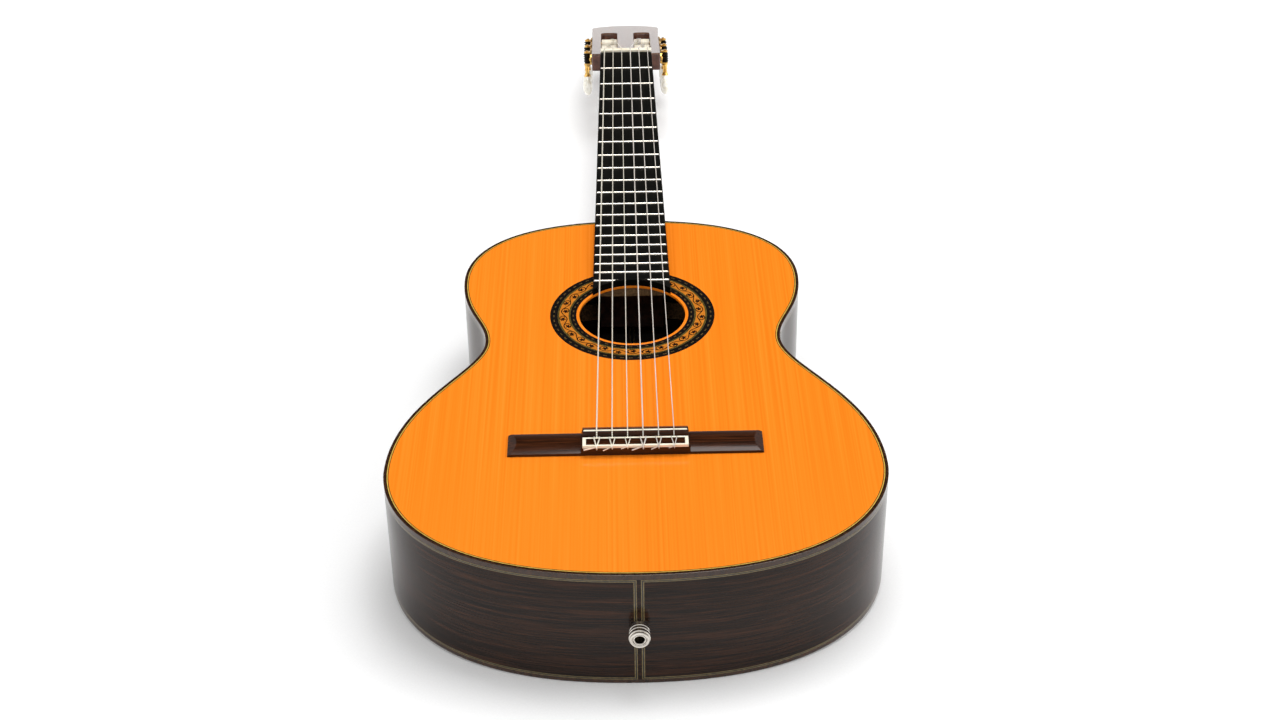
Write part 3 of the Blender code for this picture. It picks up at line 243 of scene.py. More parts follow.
def turned(profile, origin, axis, steps=32):
    """A lathe-turned piece: (distance along the axis, radius) points, spun round the axis."""
    circle = bpy.ops.mesh.primitive_circle_add
    obj = added(circle, vertices=len(profile), fill_type="NOTHING", location=(0, 0, 0))
    for vert, (along, radius) in zip(obj.data.vertices, profile):
        vert.co = (radius, 0, along)
    with editing(obj):
        bpy.ops.mesh.spin(steps=steps, angle=math.tau, center=(0, 0, 0), axis=(0, 0, 1))
        bpy.ops.mesh.select_all(action="SELECT")
        bpy.ops.mesh.remove_doubles(threshold=1e-6)
        bpy.ops.mesh.dissolve_degenerate(threshold=1e-7)
        bpy.ops.mesh.select_all(action="SELECT")
        bpy.ops.mesh.normals_make_consistent(inside=False)
    turn = Vector(axis).to_track_quat("Z", "Y").to_matrix().to_4x4()
    obj.data.transform(Matrix.Translation(origin) @ turn)
    return obj


def skin(rings):
    """A solid whose skin runs through these rings of points, extruded from one to the next."""
    count = len(rings[0])
    circle = bpy.ops.mesh.primitive_circle_add
    obj = added(circle, vertices=count, fill_type="NGON", location=(0, 0, 0))
    for vert, point in zip(obj.data.vertices, rings[0]):
        vert.co = point
    with editing(obj):
        order = {i: i for i in range(count)}
        for ring in rings[1:]:
            bpy.ops.mesh.extrude_region_move()
            work = bmesh.from_edit_mesh(obj.data)
            work.verts.ensure_lookup_table()
            after = {}
            for vert in work.verts:
                if vert.select:
                    before = [e.other_vert(vert) for e in vert.link_edges if not e.other_vert(vert).select]
                    after[vert.index] = order[before[0].index]
                    vert.co = ring[after[vert.index]]
            order = after
            bmesh.update_edit_mesh(obj.data)
        bpy.ops.mesh.select_all(action="SELECT")
        bpy.ops.mesh.normals_make_consistent(inside=False)
    return obj


def tube(points, radius, sides_level=3, smooth_steps=0):
    """A round cord through these points; with smooth steps it bends in smooth curves."""
    obj = added(bpy.ops.curve.primitive_nurbs_path_add, location=(0, 0, 0))
    data = obj.data
    data.splines.clear()
    spline = data.splines.new("NURBS" if smooth_steps else "POLY")
    spline.points.add(len(points) - 1)
    for point, place in zip(spline.points, points):
        point.co = (*place, 1.0)
    if smooth_steps:
        spline.order_u = 3
        spline.use_endpoint_u = True
        spline.resolution_u = smooth_steps
    data.bevel_depth = radius
    data.bevel_resolution = sides_level
    data.use_fill_caps = True
    only(obj)
    bpy.ops.object.convert(target="MESH")
    return tidy_normals(bpy.context.object)


def copy_of(obj, matrix=Matrix()):
    """A copy with its own mesh, moved by this matrix."""
    only(obj)
    bpy.ops.object.duplicate(linked=False)
    made = bpy.context.object
    made.data.transform(matrix)
    if matrix.determinant() < 0:
        made.data.flip_normals()
    return made


def joined(*pieces):
    """Several pieces made one."""
    only(pieces[0])
    for piece in pieces[1:]:
        piece.select_set(True)
    bpy.ops.object.join()
    return pieces[0]


# ---------------------------------------------------------------- material helpers


def srgb(code, alpha=1.0):
    """A hex colour as the linear values that a shader takes."""
    parts = [int(code[i : i + 2], 16) / 255 for i in (1, 3, 5)]
    linear = [c / 12.92 if c <= 0.04045 else ((c + 0.055) / 1.055) ** 2.4 for c in parts]
    return (*linear, alpha)


def add(tree, kind, inputs=None, stops=(), out=0, to=None, **settings):
    """Adds a node with its settings, its values or links and a ramp's colour stops, and
    links it on. It returns the output that is asked for, or the first."""
    made = tree.nodes.new(kind)
    for key, value in settings.items():
        setattr(made, key, value)
    for key, value in (inputs or {}).items():
        if isinstance(value, bpy.types.NodeSocket):
            tree.links.new(value, made.inputs[key])
        else:
            made.inputs[key].default_value = value
    while stops and len(made.color_ramp.elements) < len(stops):
        made.color_ramp.elements.new(0.5)
    for element, (place, color) in zip(made.color_ramp.elements if stops else (), stops):
        element.position = place
        element.color = srgb(color)
    if to:
        tree.links.new(made.outputs[out], to)
    return made.outputs[out]


def start_material(name, roughness, metallic=0.0, **plain):
    """A material with its shader's plain values set; returns it with its tree and the
    shader's sockets."""
    made = bpy.data.materials.new(name)
    made.use_nodes = True
    sockets = made.node_tree.nodes["Principled BSDF"].inputs
    sockets["Roughness"].default_value = roughness
    sockets["Metallic"].default_value = metallic
    for key, value in plain.items():
        sockets[key.replace("_", " ").title()].default_value = value
    return made, made.node_tree, sockets


def streaks(tree, spacing, detail=4.0, distortion=0.0, at=None):
    """Drawn-out streaks, as in wood: their spacing along X, Y and Z is given in millimetres."""
    scale = tuple(1 / (MM * size) for size in spacing)
    place = at or add(tree, "ShaderNodeTexCoord", out="Object")
    laid = add(tree, "ShaderNodeMapping", {"Vector": place, "Scale": scale})
    pattern = {"Vector": laid, "Scale": 1.0, "Detail": detail, "Distortion": distortion}
    return add(tree, "ShaderNodeTexNoise", pattern)


# ---------------------------------------------------------------- materials

RAMP, BUMP, SPAN = "ShaderNodeValToRGB", "ShaderNodeBump", "ShaderNodeMapRange"
MATHS, MIX = "ShaderNodeMath", "ShaderNodeMix"


def lacquered_spruce():
    """Spruce top, book-matched and sprayed with orange-tinted gloss lacquer: fine straight
    grain lines that mirror at the centre seam, nearly drowned in one vivid orange."""
    made, tree, sockets = start_material("lacquered_spruce", 0.22, coat_weight=0.6, coat_roughness=0.06)
    place = add(tree, "ShaderNodeTexCoord", out="Object")
    across = add(tree, "ShaderNodeSeparateXYZ", {0: place}, out="X")
    folded = add(tree, MATHS, {0: across}, operation="ABSOLUTE")
    book = add(tree, "ShaderNodeCombineXYZ", {"X": folded, "Y": across.node.outputs["Y"]})
    # Spruce has a ring each 1 to 1.5 mm; drawn at 1.9 mm so that it shows.
    rings = streaks(tree, (1.9, 420, 50), detail=1.0, at=book)
    flame = streaks(tree, (45, 300, 60), detail=1.0, at=book)
    grain = add(tree, MIX, {"Factor": 0.12, "A": rings, "B": flame}, data_type="FLOAT")
    # The two halves take the light a little differently, with a step at the seam.
    seam = {"Value": across, "From Min": -0.2 * MM, "From Max": 0.2 * MM}
    halves = add(tree, SPAN, {**seam, "To Min": 0.03, "To Max": -0.05})
    tone = add(tree, MATHS, {0: grain, 1: halves}, operation="ADD")
    stops = ((0.25, "#EE7B12"), (0.45, "#F58319"), (0.60, "#F9881F"), (0.75, "#FC8E26"))
    add(tree, RAMP, {"Fac": tone}, stops, to=sockets["Base Color"])
    add(tree, BUMP, {"Height": rings, "Distance": 0.006 * MM}, to=sockets["Normal"])
    return made


ROSEWOOD_TONES = ("#0D0603", "#1D1008", "#301C11", "#482A19")


def polished_rosewood(name, spacing, tones=ROSEWOOD_TONES, specular=0.2, coat=0.2):
    """Dark rosewood, pore-filled and lacquered: near-black and brown streaks along the wood,
    under a coat that mirrors only at a low angle. Spacing is the streaks' size per axis."""
    made, tree, sockets = start_material(name, 0.20, coat_weight=coat, coat_roughness=0.05)
    sockets["Specular IOR Level"].default_value = specular
    broad = streaks(tree, spacing, detail=5.0, distortion=0.4)
    fine = streaks(tree, tuple(size / 4 for size in spacing), detail=3.0)
    grain = add(tree, MIX, {"Factor": 0.45, "A": broad, "B": fine}, data_type="FLOAT")
    stops = tuple(zip((0.32, 0.46, 0.57, 0.70), tones))
    add(tree, RAMP, {"Fac": grain}, stops, to=sockets["Base Color"])
    add(tree, BUMP, {"Height": fine, "Distance": 0.012 * MM}, to=sockets["Normal"])
    return made


def oiled_ebony():
    """Ebony fingerboard, scraped and oiled: near-black with faint brown streaks and open
    pores that break up a soft sheen."""
    made, tree, sockets = start_material("oiled_ebony", 0.38)
    sockets["Specular IOR Level"].default_value = 0.07
    broad = streaks(tree, (5, 160, 8), detail=5.0)
    pores = streaks(tree, (0.5, 7, 1), detail=2.0)
    stops = ((0.35, "#060605"), (0.55, "#0B0A08"), (0.75, "#14110E"))
    add(tree, RAMP, {"Fac": broad}, stops, to=sockets["Base Color"])
    add(tree, SPAN, {"Value": pores, "To Min": 0.30, "To Max": 0.50}, to=sockets["Roughness"])
    add(tree, BUMP, {"Height": pores, "Distance": 0.03 * MM}, to=sockets["Normal"])
    return made


def satin_cedar():
    """Cedar neck and head, sanded and sprayed with a brown satin lacquer: long straight
    fibres and short dark pores along the neck."""
    made, tree, sockets = start_material("satin_cedar", 0.36, coat_weight=0.15, coat_roughness=0.15)
    broad = streaks(tree, (6, 190, 6), detail=5.0, distortion=0.3)
    pores = streaks(tree, (0.6, 9, 0.6), detail=2.0)
    grain = add(tree, MIX, {"Factor": 0.3, "A": broad, "B": pores}, data_type="FLOAT")
    stops = ((0.34, "#38211A"), (0.50, "#523125"), (0.66, "#6B4231"))
    add(tree, RAMP, {"Fac": grain}, stops, to=sockets["Base Color"])
    add(tree, BUMP, {"Height": pores, "Distance": 0.02 * MM}, to=sockets["Normal"])
    return made


def bare_cedar():
    """Braces and linings of bare, planed cedar: pale, matt, with fine fibres."""
    made, tree, sockets = start_material("bare_cedar", 0.75)
    fibres = streaks(tree, (1.5, 40, 1.5), detail=4.0)
    stops = ((0.35, "#7C5A38"), (0.65, "#A98358"))
    add(tree, RAMP, {"Fac": fibres}, stops, to=sockets["Base Color"])
    add(tree, BUMP, {"Height": fibres, "Distance": 0.03 * MM}, to=sockets["Normal"])
    return made


def dyed_veneer(name, dark, light, roughness=0.22):
    """A strip of dyed or plain veneer let into an edge, lacquered over with the body: short
    fibres just visible in one even tone."""
    made, tree, sockets = start_material(name, roughness, coat_weight=0.3, coat_roughness=0.05)
    sockets["Specular IOR Level"].default_value = 0.3
    fibres = streaks(tree, (3, 3, 3), detail=6.0, distortion=0.5)
    add(tree, RAMP, {"Fac": fibres}, ((0.3, dark), (0.7, light)), to=sockets["Base Color"])
    return made


def polished_bone():
    """Bone for nut, saddle and trim, filed and buffed: ivory white with a slightly waxy
    depth, faint darker fibres and tiny pores."""
    made, tree, sockets = start_material("polished_bone", 0.28, subsurface_weight=0.15)
    sockets["Subsurface Radius"].default_value = (1.2 * MM, 0.9 * MM, 0.6 * MM)
    sockets["Subsurface Scale"].default_value = 1.0
    fibres = streaks(tree, (9, 1.2, 1.2), detail=4.0)
    stops = ((0.3, "#E4D9BE"), (0.6, "#F8F1DF"), (0.8, "#FDF9EE"))
    add(tree, RAMP, {"Fac": fibres}, stops, to=sockets["Base Color"])
    add(tree, BUMP, {"Height": fibres, "Distance": 0.01 * MM}, to=sockets["Normal"])
    return made


def nickel_silver():
    """Nickel-silver fret wire, filed and polished: bright, with fine polishing marks along
    each fret."""
    made, tree, sockets = start_material("nickel_silver", 0.22, 1.0)
    marks = streaks(tree, (8, 0.25, 0.25), detail=2.0)
    add(tree, RAMP, {"Fac": marks}, ((0.3, "#C6BFB3"), (0.7, "#F0EAE0")), to=sockets["Base Color"])
    add(tree, BUMP, {"Height": marks, "Distance": 0.004 * MM}, to=sockets["Normal"])
    return made


def nickel_plate():
    """Nickel plate on the turned jack: mirror-bright, with faint rings of lathe marks."""
    made, tree, sockets = start_material("nickel_plate", 0.16, 1.0)
    rings = streaks(tree, (9, 0.35, 9), detail=2.0)
    smudges = streaks(tree, (6, 6, 6), detail=3.0)
    add(tree, RAMP, {"Fac": smudges}, ((0.3, "#BDB6AC"), (0.7, "#E4DED5")), to=sockets["Base Color"])
    add(tree, SPAN, {"Value": smudges, "To Min": 0.12, "To Max": 0.26}, to=sockets["Roughness"])
    add(tree, BUMP, {"Height": rings, "Distance": 0.004 * MM}, to=sockets["Normal"])
    return made


def gold_plate():
    """Gold-plated pressed brass on the tuners: warm and bright, brushed along the plate, and
    a little duller where fingers rub it."""
    made, tree, sockets = start_material("gold_plate", 0.25, 1.0)
    brushing = streaks(tree, (0.3, 12, 0.3), detail=2.0)
    wear = streaks(tree, (7, 7, 7), detail=3.0)
    stops = ((0.3, "#D09C4A"), (0.55, "#EFC06A"), (0.75, "#F8D48C"))
    add(tree, RAMP, {"Fac": wear}, stops, to=sockets["Base Color"])
    add(tree, SPAN, {"Value": wear, "To Min": 0.18, "To Max": 0.36}, to=sockets["Roughness"])
    add(tree, BUMP, {"Height": brushing, "Distance": 0.004 * MM}, to=sockets["Normal"])
    return made


def blackened_steel():
    """Gears and worms of cut steel, chemically blackened: nearly black, with lighter
    brown-grey mottling scattered at random."""
    made, tree, sockets = start_material("blackened_steel", 0.34, 1.0)
    mottle = streaks(tree, (1.2, 1.2, 1.2), detail=4.0)
    stops = ((0.35, "#161412"), (0.6, "#2A2723"), (0.8, "#4A443C"))
    add(tree, RAMP, {"Fac": mottle}, stops, to=sockets["Base Color"])
    add(tree, BUMP, {"Height": mottle, "Distance": 0.006 * MM}, to=sockets["Normal"])
    return made


def pearl_celluloid():
    """Tuner buttons of moulded pearl celluloid: cream, with drifting paler bands that look
    deep under a gloss."""
    made, tree, sockets = start_material("pearl_celluloid", 0.16, coat_weight=0.6, coat_roughness=0.04)
    bands = streaks(tree, (9, 5, 7), detail=2.0, distortion=1.6)
    stops = ((0.3, "#E2DBC6"), (0.5, "#F2EEE0"), (0.62, "#FDFAF1"), (0.8, "#EBE5D3"))
    add(tree, RAMP, {"Fac": bands}, stops, to=sockets["Base Color"])
    add(tree, SPAN, {"Value": bands, "To Min": 0.10, "To Max": 0.28}, to=sockets["Roughness"])
    return made


def cream_nylon():
    """String rollers of turned cream nylon: smooth and a little waxy, with fine lathe rings
    across the axis."""
    made, tree, sockets = start_material("cream_nylon", 0.35, subsurface_weight=0.1)
    sockets["Subsurface Radius"].default_value = (1.0 * MM, 0.8 * MM, 0.6 * MM)
    sockets["Subsurface Scale"].default_value = 1.0
    rings = streaks(tree, (0.4, 20, 20), detail=2.0)
    add(tree, RAMP, {"Fac": rings}, ((0.3, "#EADFC6"), (0.7, "#FAF3E2")), to=sockets["Base Color"])
    add(tree, BUMP, {"Height": rings, "Distance": 0.01 * MM}, to=sockets["Normal"])
    return made


def silver_winding():
    """Bass strings wound with silver-plated copper wire: a bright cord of fine ribs."""
    made, tree, sockets = start_material("silver_winding", 0.42, 0.55)
    # The wire is 0.15 to 0.25 mm thick; its ribs are drawn each 0.8 mm so that they show.
    pitch = 0.8 * MM
    place = add(tree, "ShaderNodeTexCoord", out="Object")
    inputs = {"Vector": place, "Scale": math.tau / 20 / pitch, "Distortion": 0.0}
    ribs = add(tree, "ShaderNodeTexWave", inputs, bands_direction="Y")
    stops = ((0.1, "#C9BFA8"), (0.5, "#F6EEDC"), (0.9, "#FFFBF0"))
    add(tree, RAMP, {"Fac": ribs}, stops, to=sockets["Base Color"])
    add(tree, BUMP, {"Height": ribs, "Distance": 0.06 * MM}, to=sockets["Normal"])
    return made


def clear_nylon():
    """Treble strings of drawn, ground nylon: milky and translucent with a soft shine."""
    made, tree, sockets = start_material("clear_nylon", 0.22, transmission_weight=0.35)
    sockets["IOR"].default_value = 1.53
    length = streaks(tree, (3, 30, 3), detail=2.0)
    add(tree, RAMP, {"Fac": length}, ((0.3, "#DAD1C8"), (0.7, "#F4EDE4")), to=sockets["Base Color"])
    add(tree, BUMP, {"Height": length, "Distance": 0.003 * MM}, to=sockets["Normal"])
    return made


def pickup_braid():
    """The strip under the saddle, in a woven tinned shield: dark grey and matt."""
    made, tree, sockets = start_material("pickup_braid", 0.55, 0.6)
    weave = streaks(tree, (0.5, 0.5, 0.5), detail=1.0)
    add(tree, RAMP, {"Fac": weave}, ((0.35, "#3A3A3C"), (0.65, "#6A6A6C")), to=sockets["Base Color"])
    add(tree, BUMP, {"Height": weave, "Distance": 0.03 * MM}, to=sockets["Normal"])
    return made


def pale_floor():
    """A studio floor of rolled matt paper: white, with a trace of tooth."""
    made, tree, sockets = start_material("pale_floor", 0.9)
    tooth = streaks(tree, (1.5, 1.5, 1.5), detail=1.0)
    add(tree, RAMP, {"Fac": tooth}, ((0.3, "#FBFBFB"), (0.7, "#FEFEFE")), to=sockets["Base Color"])
    return made


SPRUCE = lacquered_spruce()
SIDE_WOOD = polished_rosewood("rosewood_sides", (90, 90, 2.6), specular=0.14, coat=0.12)
BACK_WOOD = polished_rosewood("rosewood_back", (5, 170, 60), specular=0.35, coat=0.5)
BRIDGE_TONES = ("#1A0B04", "#2B1408", "#3C1D0C", "#4E2A14")
BRIDGE_WOOD = polished_rosewood("rosewood_bridge", (70, 2.2, 2.2), BRIDGE_TONES, 0.2, 0.12)
HEAD_TONES = ("#523C32", "#66493C", "#775747", "#866352")
HEAD_WOOD = polished_rosewood("rosewood_veneer", (5, 110, 40), HEAD_TONES, 0.5, 0.55)
EBONY = oiled_ebony()
CEDAR = satin_cedar()
INNER_CEDAR = bare_cedar()
DARK_LINE = dyed_veneer("black_dyed_pear", "#0B0908", "#171210")
BINDING_WOOD = dyed_veneer("rosewood_binding", "#24150C", "#432A1A", 0.16)
LIGHT_LINE = dyed_veneer("olive_dyed_maple", "#5F5130", "#796944")
GOLD_LINE = dyed_veneer("yellow_boxwood", "#B8923C", "#D8B254")
MARQUETRY_GROUND = dyed_veneer("orange_maple", "#BA6A1C", "#CE7E27")
MARQUETRY_TILE = dyed_veneer("brown_boxwood", "#4A3A1E", "#6C5630")
MARQUETRY_SCROLL = dyed_veneer("smoked_oak", "#150A05", "#26130A")
MARQUETRY_LINE = dyed_veneer("green_boxwood", "#54481F", "#6F602E")
BONE = polished_bone()
FRET_WIRE = nickel_silver()
NICKEL = nickel_plate()
GOLD = gold_plate()
BLACK_STEEL = blackened_steel()
PEARL = pearl_celluloid()
ROLLER_NYLON = cream_nylon()
WINDING = silver_winding()
NYLON = clear_nylon()
BRAID = pickup_braid()


# ---------------------------------------------------------------- body


def outline_plate(height):
    """The body's outline as one flat face: a Bezier circle subdivided and drawn to its knots."""
    obj = added(bpy.ops.curve.primitive_bezier_circle_add, location=(0, 0, 0))
    with editing(obj):
        bpy.ops.curve.select_all(action="SELECT")
        bpy.ops.curve.subdivide(number_cuts=1)
    (upper, upper_at), (waist, waist_at) = UPPER_BOUT, WAIST
    lower, lower_at = LOWER_BOUT_HALF, LOWER_BOUT_PLACE
    down = [
        (upper, upper_at, UPPER_RUNS),
        (waist, waist_at, WAIST_RUNS),
        (lower, lower_at, LOWER_RUNS),
    ]
    knots = [((0, 0), (-SHOULDER_RUN, 0), (SHOULDER_RUN, 0))]
    knots += [((x, at), (x, at - before), (x, at + after)) for x, at, (before, after) in down]
    knots += [((0, BODY_LENGTH), (TAIL_RUN, BODY_LENGTH), (-TAIL_RUN, BODY_LENGTH))]
    knots += [((-x, at), (-x, at + after), (-x, at - before)) for x, at, (before, after) in reversed(down)]
    for knot, places in zip(obj.data.splines[0].bezier_points, knots):
        knot.handle_left_type = knot.handle_right_type = "FREE"
        middle, before, after = [(x, BODY_TOP_Y - at, height) for x, at in places]
        knot.co, knot.handle_left, knot.handle_right = middle, before, after
    obj.data.resolution_u = OUTLINE_STEPS
    obj.data.fill_mode = "FULL"
    only(obj)
    bpy.ops.object.convert(target="MESH")
    obj = bpy.context.object
    with editing(obj):
        bpy.ops.mesh.remove_doubles(threshold=1e-6)
        bpy.ops.mesh.edge_face_add()
    return obj


def rim_off(plate, width):
    """Insets the plate and takes off its rim as a piece; the plate keeps the middle."""
    before = set(bpy.data.objects)
    with editing(plate):
        bpy.ops.mesh.select_mode(type="FACE")
        bpy.ops.mesh.inset(thickness=width, depth=0)
        bpy.ops.mesh.select_all(action="INVERT")
        bpy.ops.mesh.separate(type="SELECTED")
    return (set(bpy.data.objects) - before).pop()


def back_height(x):
    """The arched back's outer face above the table: flat in the middle."""
    beyond = max(abs(x) - BACK_FLAT_HALF, 0.0)
    return beyond * beyond / (2 * BACK_ARCH_RADIUS)


def stood_up(rim, low, high):
    """A rim stood up between two levels: ("top", how far below the top's face) or ("back",
    how far above the back's face)."""
    raise_by(rim, 1.0)
    middle = sum(vert.co.z for vert in rim.data.vertices) / len(rim.data.vertices)
    for vert in rim.data.vertices:
        face, away = high if vert.co.z > middle else low
        vert.co.z = TOP - away if face == "top" else back_height(vert.co.x) + away
    return rim


def keep_between(obj, low, high, axis=0):
    """Cuts a piece off at two planes across an axis and closes the cuts."""
    normal = [float(i == axis) for i in range(3)]
    for place, side in ((low, -1), (high, 1)):
        if place is None:
            continue
        point = [place * n for n in normal]
        outward = [side * n for n in normal]
        with editing(obj):
            bpy.ops.mesh.bisect(plane_co=point, plane_no=outward, use_fill=True, clear_outer=True)
    return obj


def make_top():
    """Spruce top, binding, three purfling lines and the rosette's five rings."""
    plate = outline_plate(TOP)
    binding = stood_up(rim_off(plate, BINDING), ("top", TOP_BINDING_HEIGHT), ("top", 0.0))
    soften(binding, 0.35 * MM, 2, 60)
    finish(binding, "top_edge_binding", BINDING_WOOD, stands_for=["top_binding"])
    for name, width, material in zip(
        ("outer_purfling", "gold_purfling", "inner_purfling"), PURFLING, (DARK_LINE, GOLD_LINE, DARK_LINE)
    ):
        line = stood_up(rim_off(plate, width), ("top", PURFLING_DEPTH), ("top", 0.0))
        finish(line, name, material)
    board = raise_by(plate, -BOARD_THICKNESS)
    middle = Vector((0, HOLE_Y, TOP))
    reach = Vector((0, 0, 10 * MM))
    cut(board, rod(middle - reach, middle + reach, ROSETTE_OUTER, 160))
    finish(board, "spruce_top", SPRUCE, stands_for=["soundboard"])
    make_rosette(middle)


def around_hole(obj, count):
    """Repeats an inlay this many times round the soundhole."""
    step = added(bpy.ops.object.empty_add, location=(0, 0, 0))
    middle = Matrix.Translation((0, HOLE_Y, 0))
    step.matrix_world = middle @ Matrix.Rotation(math.tau / count, 4, "Z") @ middle.inverted()
    bpy.context.view_layer.update()
    modify(obj, "ARRAY", count=count, use_relative_offset=False, use_object_offset=True, offset_object=step)
    drop(step)
    return obj


def inlaid(places):
    """An inlay let into the top, from (run along the ring's middle, distance from the hole's
    centre) corners; it stands a hair proud."""
    middle = (ROSETTE_RINGS[0] + ROSETTE_OUTER) / 2
    turns = [(reach, run / middle) for run, reach in places]
    corners = [(reach * math.cos(turn), HOLE_Y + reach * math.sin(turn)) for reach, turn in turns]
    return raise_by(polygon(corners, TOP - 0.5 * MM), 0.53 * MM)


def row_of_tiles(middle_reach, wide, length, tiles, gap):
    """A short row of mosaic tiles along the ring."""
    step = length / tiles
    made = []
    for i in range(tiles):
        start, stop = i * step, (i + 1) * step - gap
        near, far = middle_reach - wide / 2, middle_reach + wide / 2
        made.append(inlaid([(start, near), (start, far), (stop, far), (stop, near)]))
    return joined(*made)


def scroll_of_leaves(inner, outer, length):
    """One repeat of the vine: its wavy stem, and in each bend a curl round a lobed leaf."""
    middle, sway, stem = (inner + outer) / 2, 0.31 * (outer - inner), 0.42 * MM
    runs = [length * i / 32 for i in range(33)]
    line = [(run, middle + sway * math.sin(math.tau * run / length)) for run in runs]
    made = [inlaid([(x, y + stem) for x, y in line] + [(x, y - stem) for x, y in reversed(line)])]
    for share, side in ((0.25, -1), (0.75, 1)):
        run, reach = length * share, middle + side * 0.9 * MM
        lobes = []
        for i in range(30):
            turn = math.tau * i / 30
            far = (1.7 + 0.6 * math.cos(5 * turn)) * MM
            lobes.append((run + 1.25 * far * math.cos(turn), reach + far * math.sin(turn)))
        made.append(inlaid(lobes))
        arc = [math.radians(20 + 215 * i / 14) for i in range(15)]
        curl = [(run - 1.1 * MM + far * math.cos(a) * 1.2, reach + side * far * math.sin(a) * 0.9)
                for far, turns in ((3.2 * MM, arc), (2.4 * MM, arc[::-1])) for a in turns]
        made.append(inlaid(curl))
    return joined(*made)


def make_rosette(middle):
    """Five rings of marquetry: bands of dashes in black, dotted lines and a vine scroll."""
    names = ("dash_ring", "dotted_ring_inner", "vine_ring", "dotted_ring_outer", "outer_dash_ring")
    grounds = (DARK_LINE, MARQUETRY_LINE, MARQUETRY_GROUND, MARQUETRY_LINE, DARK_LINE)
    radii = (HOLE_RADIUS, *ROSETTE_RINGS)
    circle = bpy.ops.mesh.primitive_circle_add
    disc = only(added(circle, vertices=160, radius=ROSETTE_OUTER, fill_type="NGON", location=middle))
    bpy.ops.object.transform_apply(location=True, rotation=True, scale=True)
    for i in reversed(range(5)):
        ring = raise_by(rim_off(disc, radii[i + 2] - radii[i + 1]), -BOARD_THICKNESS)
        finish(ring, names[i], grounds[i], stands_for=["rosette"])
    rim = raise_by(rim_off(disc, radii[1] - radii[0]), -BOARD_THICKNESS)
    soften(rim, 0.4 * MM, 2, 60)
    finish(rim, "soundhole_rim", SPRUCE)
    drop(disc)
    first, second, third, fourth, fifth, last = ROSETTE_RINGS
    rows = (
        ("inner_dashes", (first + second) / 2, 1.1 * MM, 3.2 * MM, 2, 0.4 * MM, 46, MARQUETRY_TILE),
        ("inner_dots", (second + third) / 2, 0.7 * MM, 1.1 * MM, 1, 0.3 * MM, 210, DARK_LINE),
        ("outer_dots", (fourth + fifth) / 2, 0.7 * MM, 1.0 * MM, 1, 0.3 * MM, 240, DARK_LINE),
        ("outer_dashes", (fifth + last) / 2, 1.1 * MM, 2.9 * MM, 2, 0.4 * MM, 58, MARQUETRY_TILE),
    )
    for name, reach, wide, length, tiles, gap, count, material in rows:
        row = around_hole(row_of_tiles(reach, wide, length, tiles, gap), count)
        finish(row, name, material)
    repeats = 15
    length = math.tau / repeats * (ROSETTE_RINGS[0] + ROSETTE_OUTER) / 2
    vine = around_hole(scroll_of_leaves(third, fourth, length), repeats)
    finish(vine, "vine_scroll", MARQUETRY_SCROLL)


def make_sides():
    """Rosewood ribs between double light lines, which turn down into the end graft."""
    plate = outline_plate(TOP)
    rim = rim_off(plate, RIB_THICKNESS)
    tail_rim = keep_between(copy_of(rim), None, TAIL_Y + 40 * MM, axis=1)
    top_level, back_level = TOP_BINDING_HEIGHT, BACK_BINDING_HEIGHT
    for i, (width, material) in enumerate(zip(SIDE_LINES, (LIGHT_LINE, DARK_LINE, LIGHT_LINE))):
        levels = {
            "top": (("top", top_level + width), ("top", top_level)),
            "back": (("back", back_level), ("back", back_level + width)),
        }
        top_level, back_level = top_level + width, back_level + width
        for face, (low, high) in levels.items():
            band = keep_between(stood_up(copy_of(rim), low, high), GRAFT_EDGES[i], None)
            joined(band, copy_of(band, MIRROR))
            finish(band, f"{face}_side_line_{i + 1}", material)
        strip = stood_up(copy_of(tail_rim), ("back", back_level), ("top", top_level))
        strip = keep_between(strip, GRAFT_EDGES[i], GRAFT_EDGES[i + 1])
        joined(strip, copy_of(strip, MIRROR))
        finish(strip, f"graft_line_{i + 1}", material, stands_for=["end_graft"])
    graft = stood_up(copy_of(tail_rim), ("back", BACK_BINDING_HEIGHT), ("top", TOP_BINDING_HEIGHT))
    keep_between(graft, -GRAFT_EDGES[0], GRAFT_EDGES[0])
    finish(graft, "graft_middle", SIDE_WOOD, stands_for=["end_graft"])
    bass = stood_up(copy_of(rim), ("back", back_level), ("top", top_level))
    treble = copy_of(keep_between(bass, GRAFT_EDGES[3], None))
    bass.data.transform(MIRROR)
    bass.data.flip_normals()
    for label, rib in (("bass", bass), ("treble", treble)):
        finish(rib, f"{label}_side", SIDE_WOOD, stands_for=[f"rib_{label}"])
    drop(rim, tail_rim, plate)


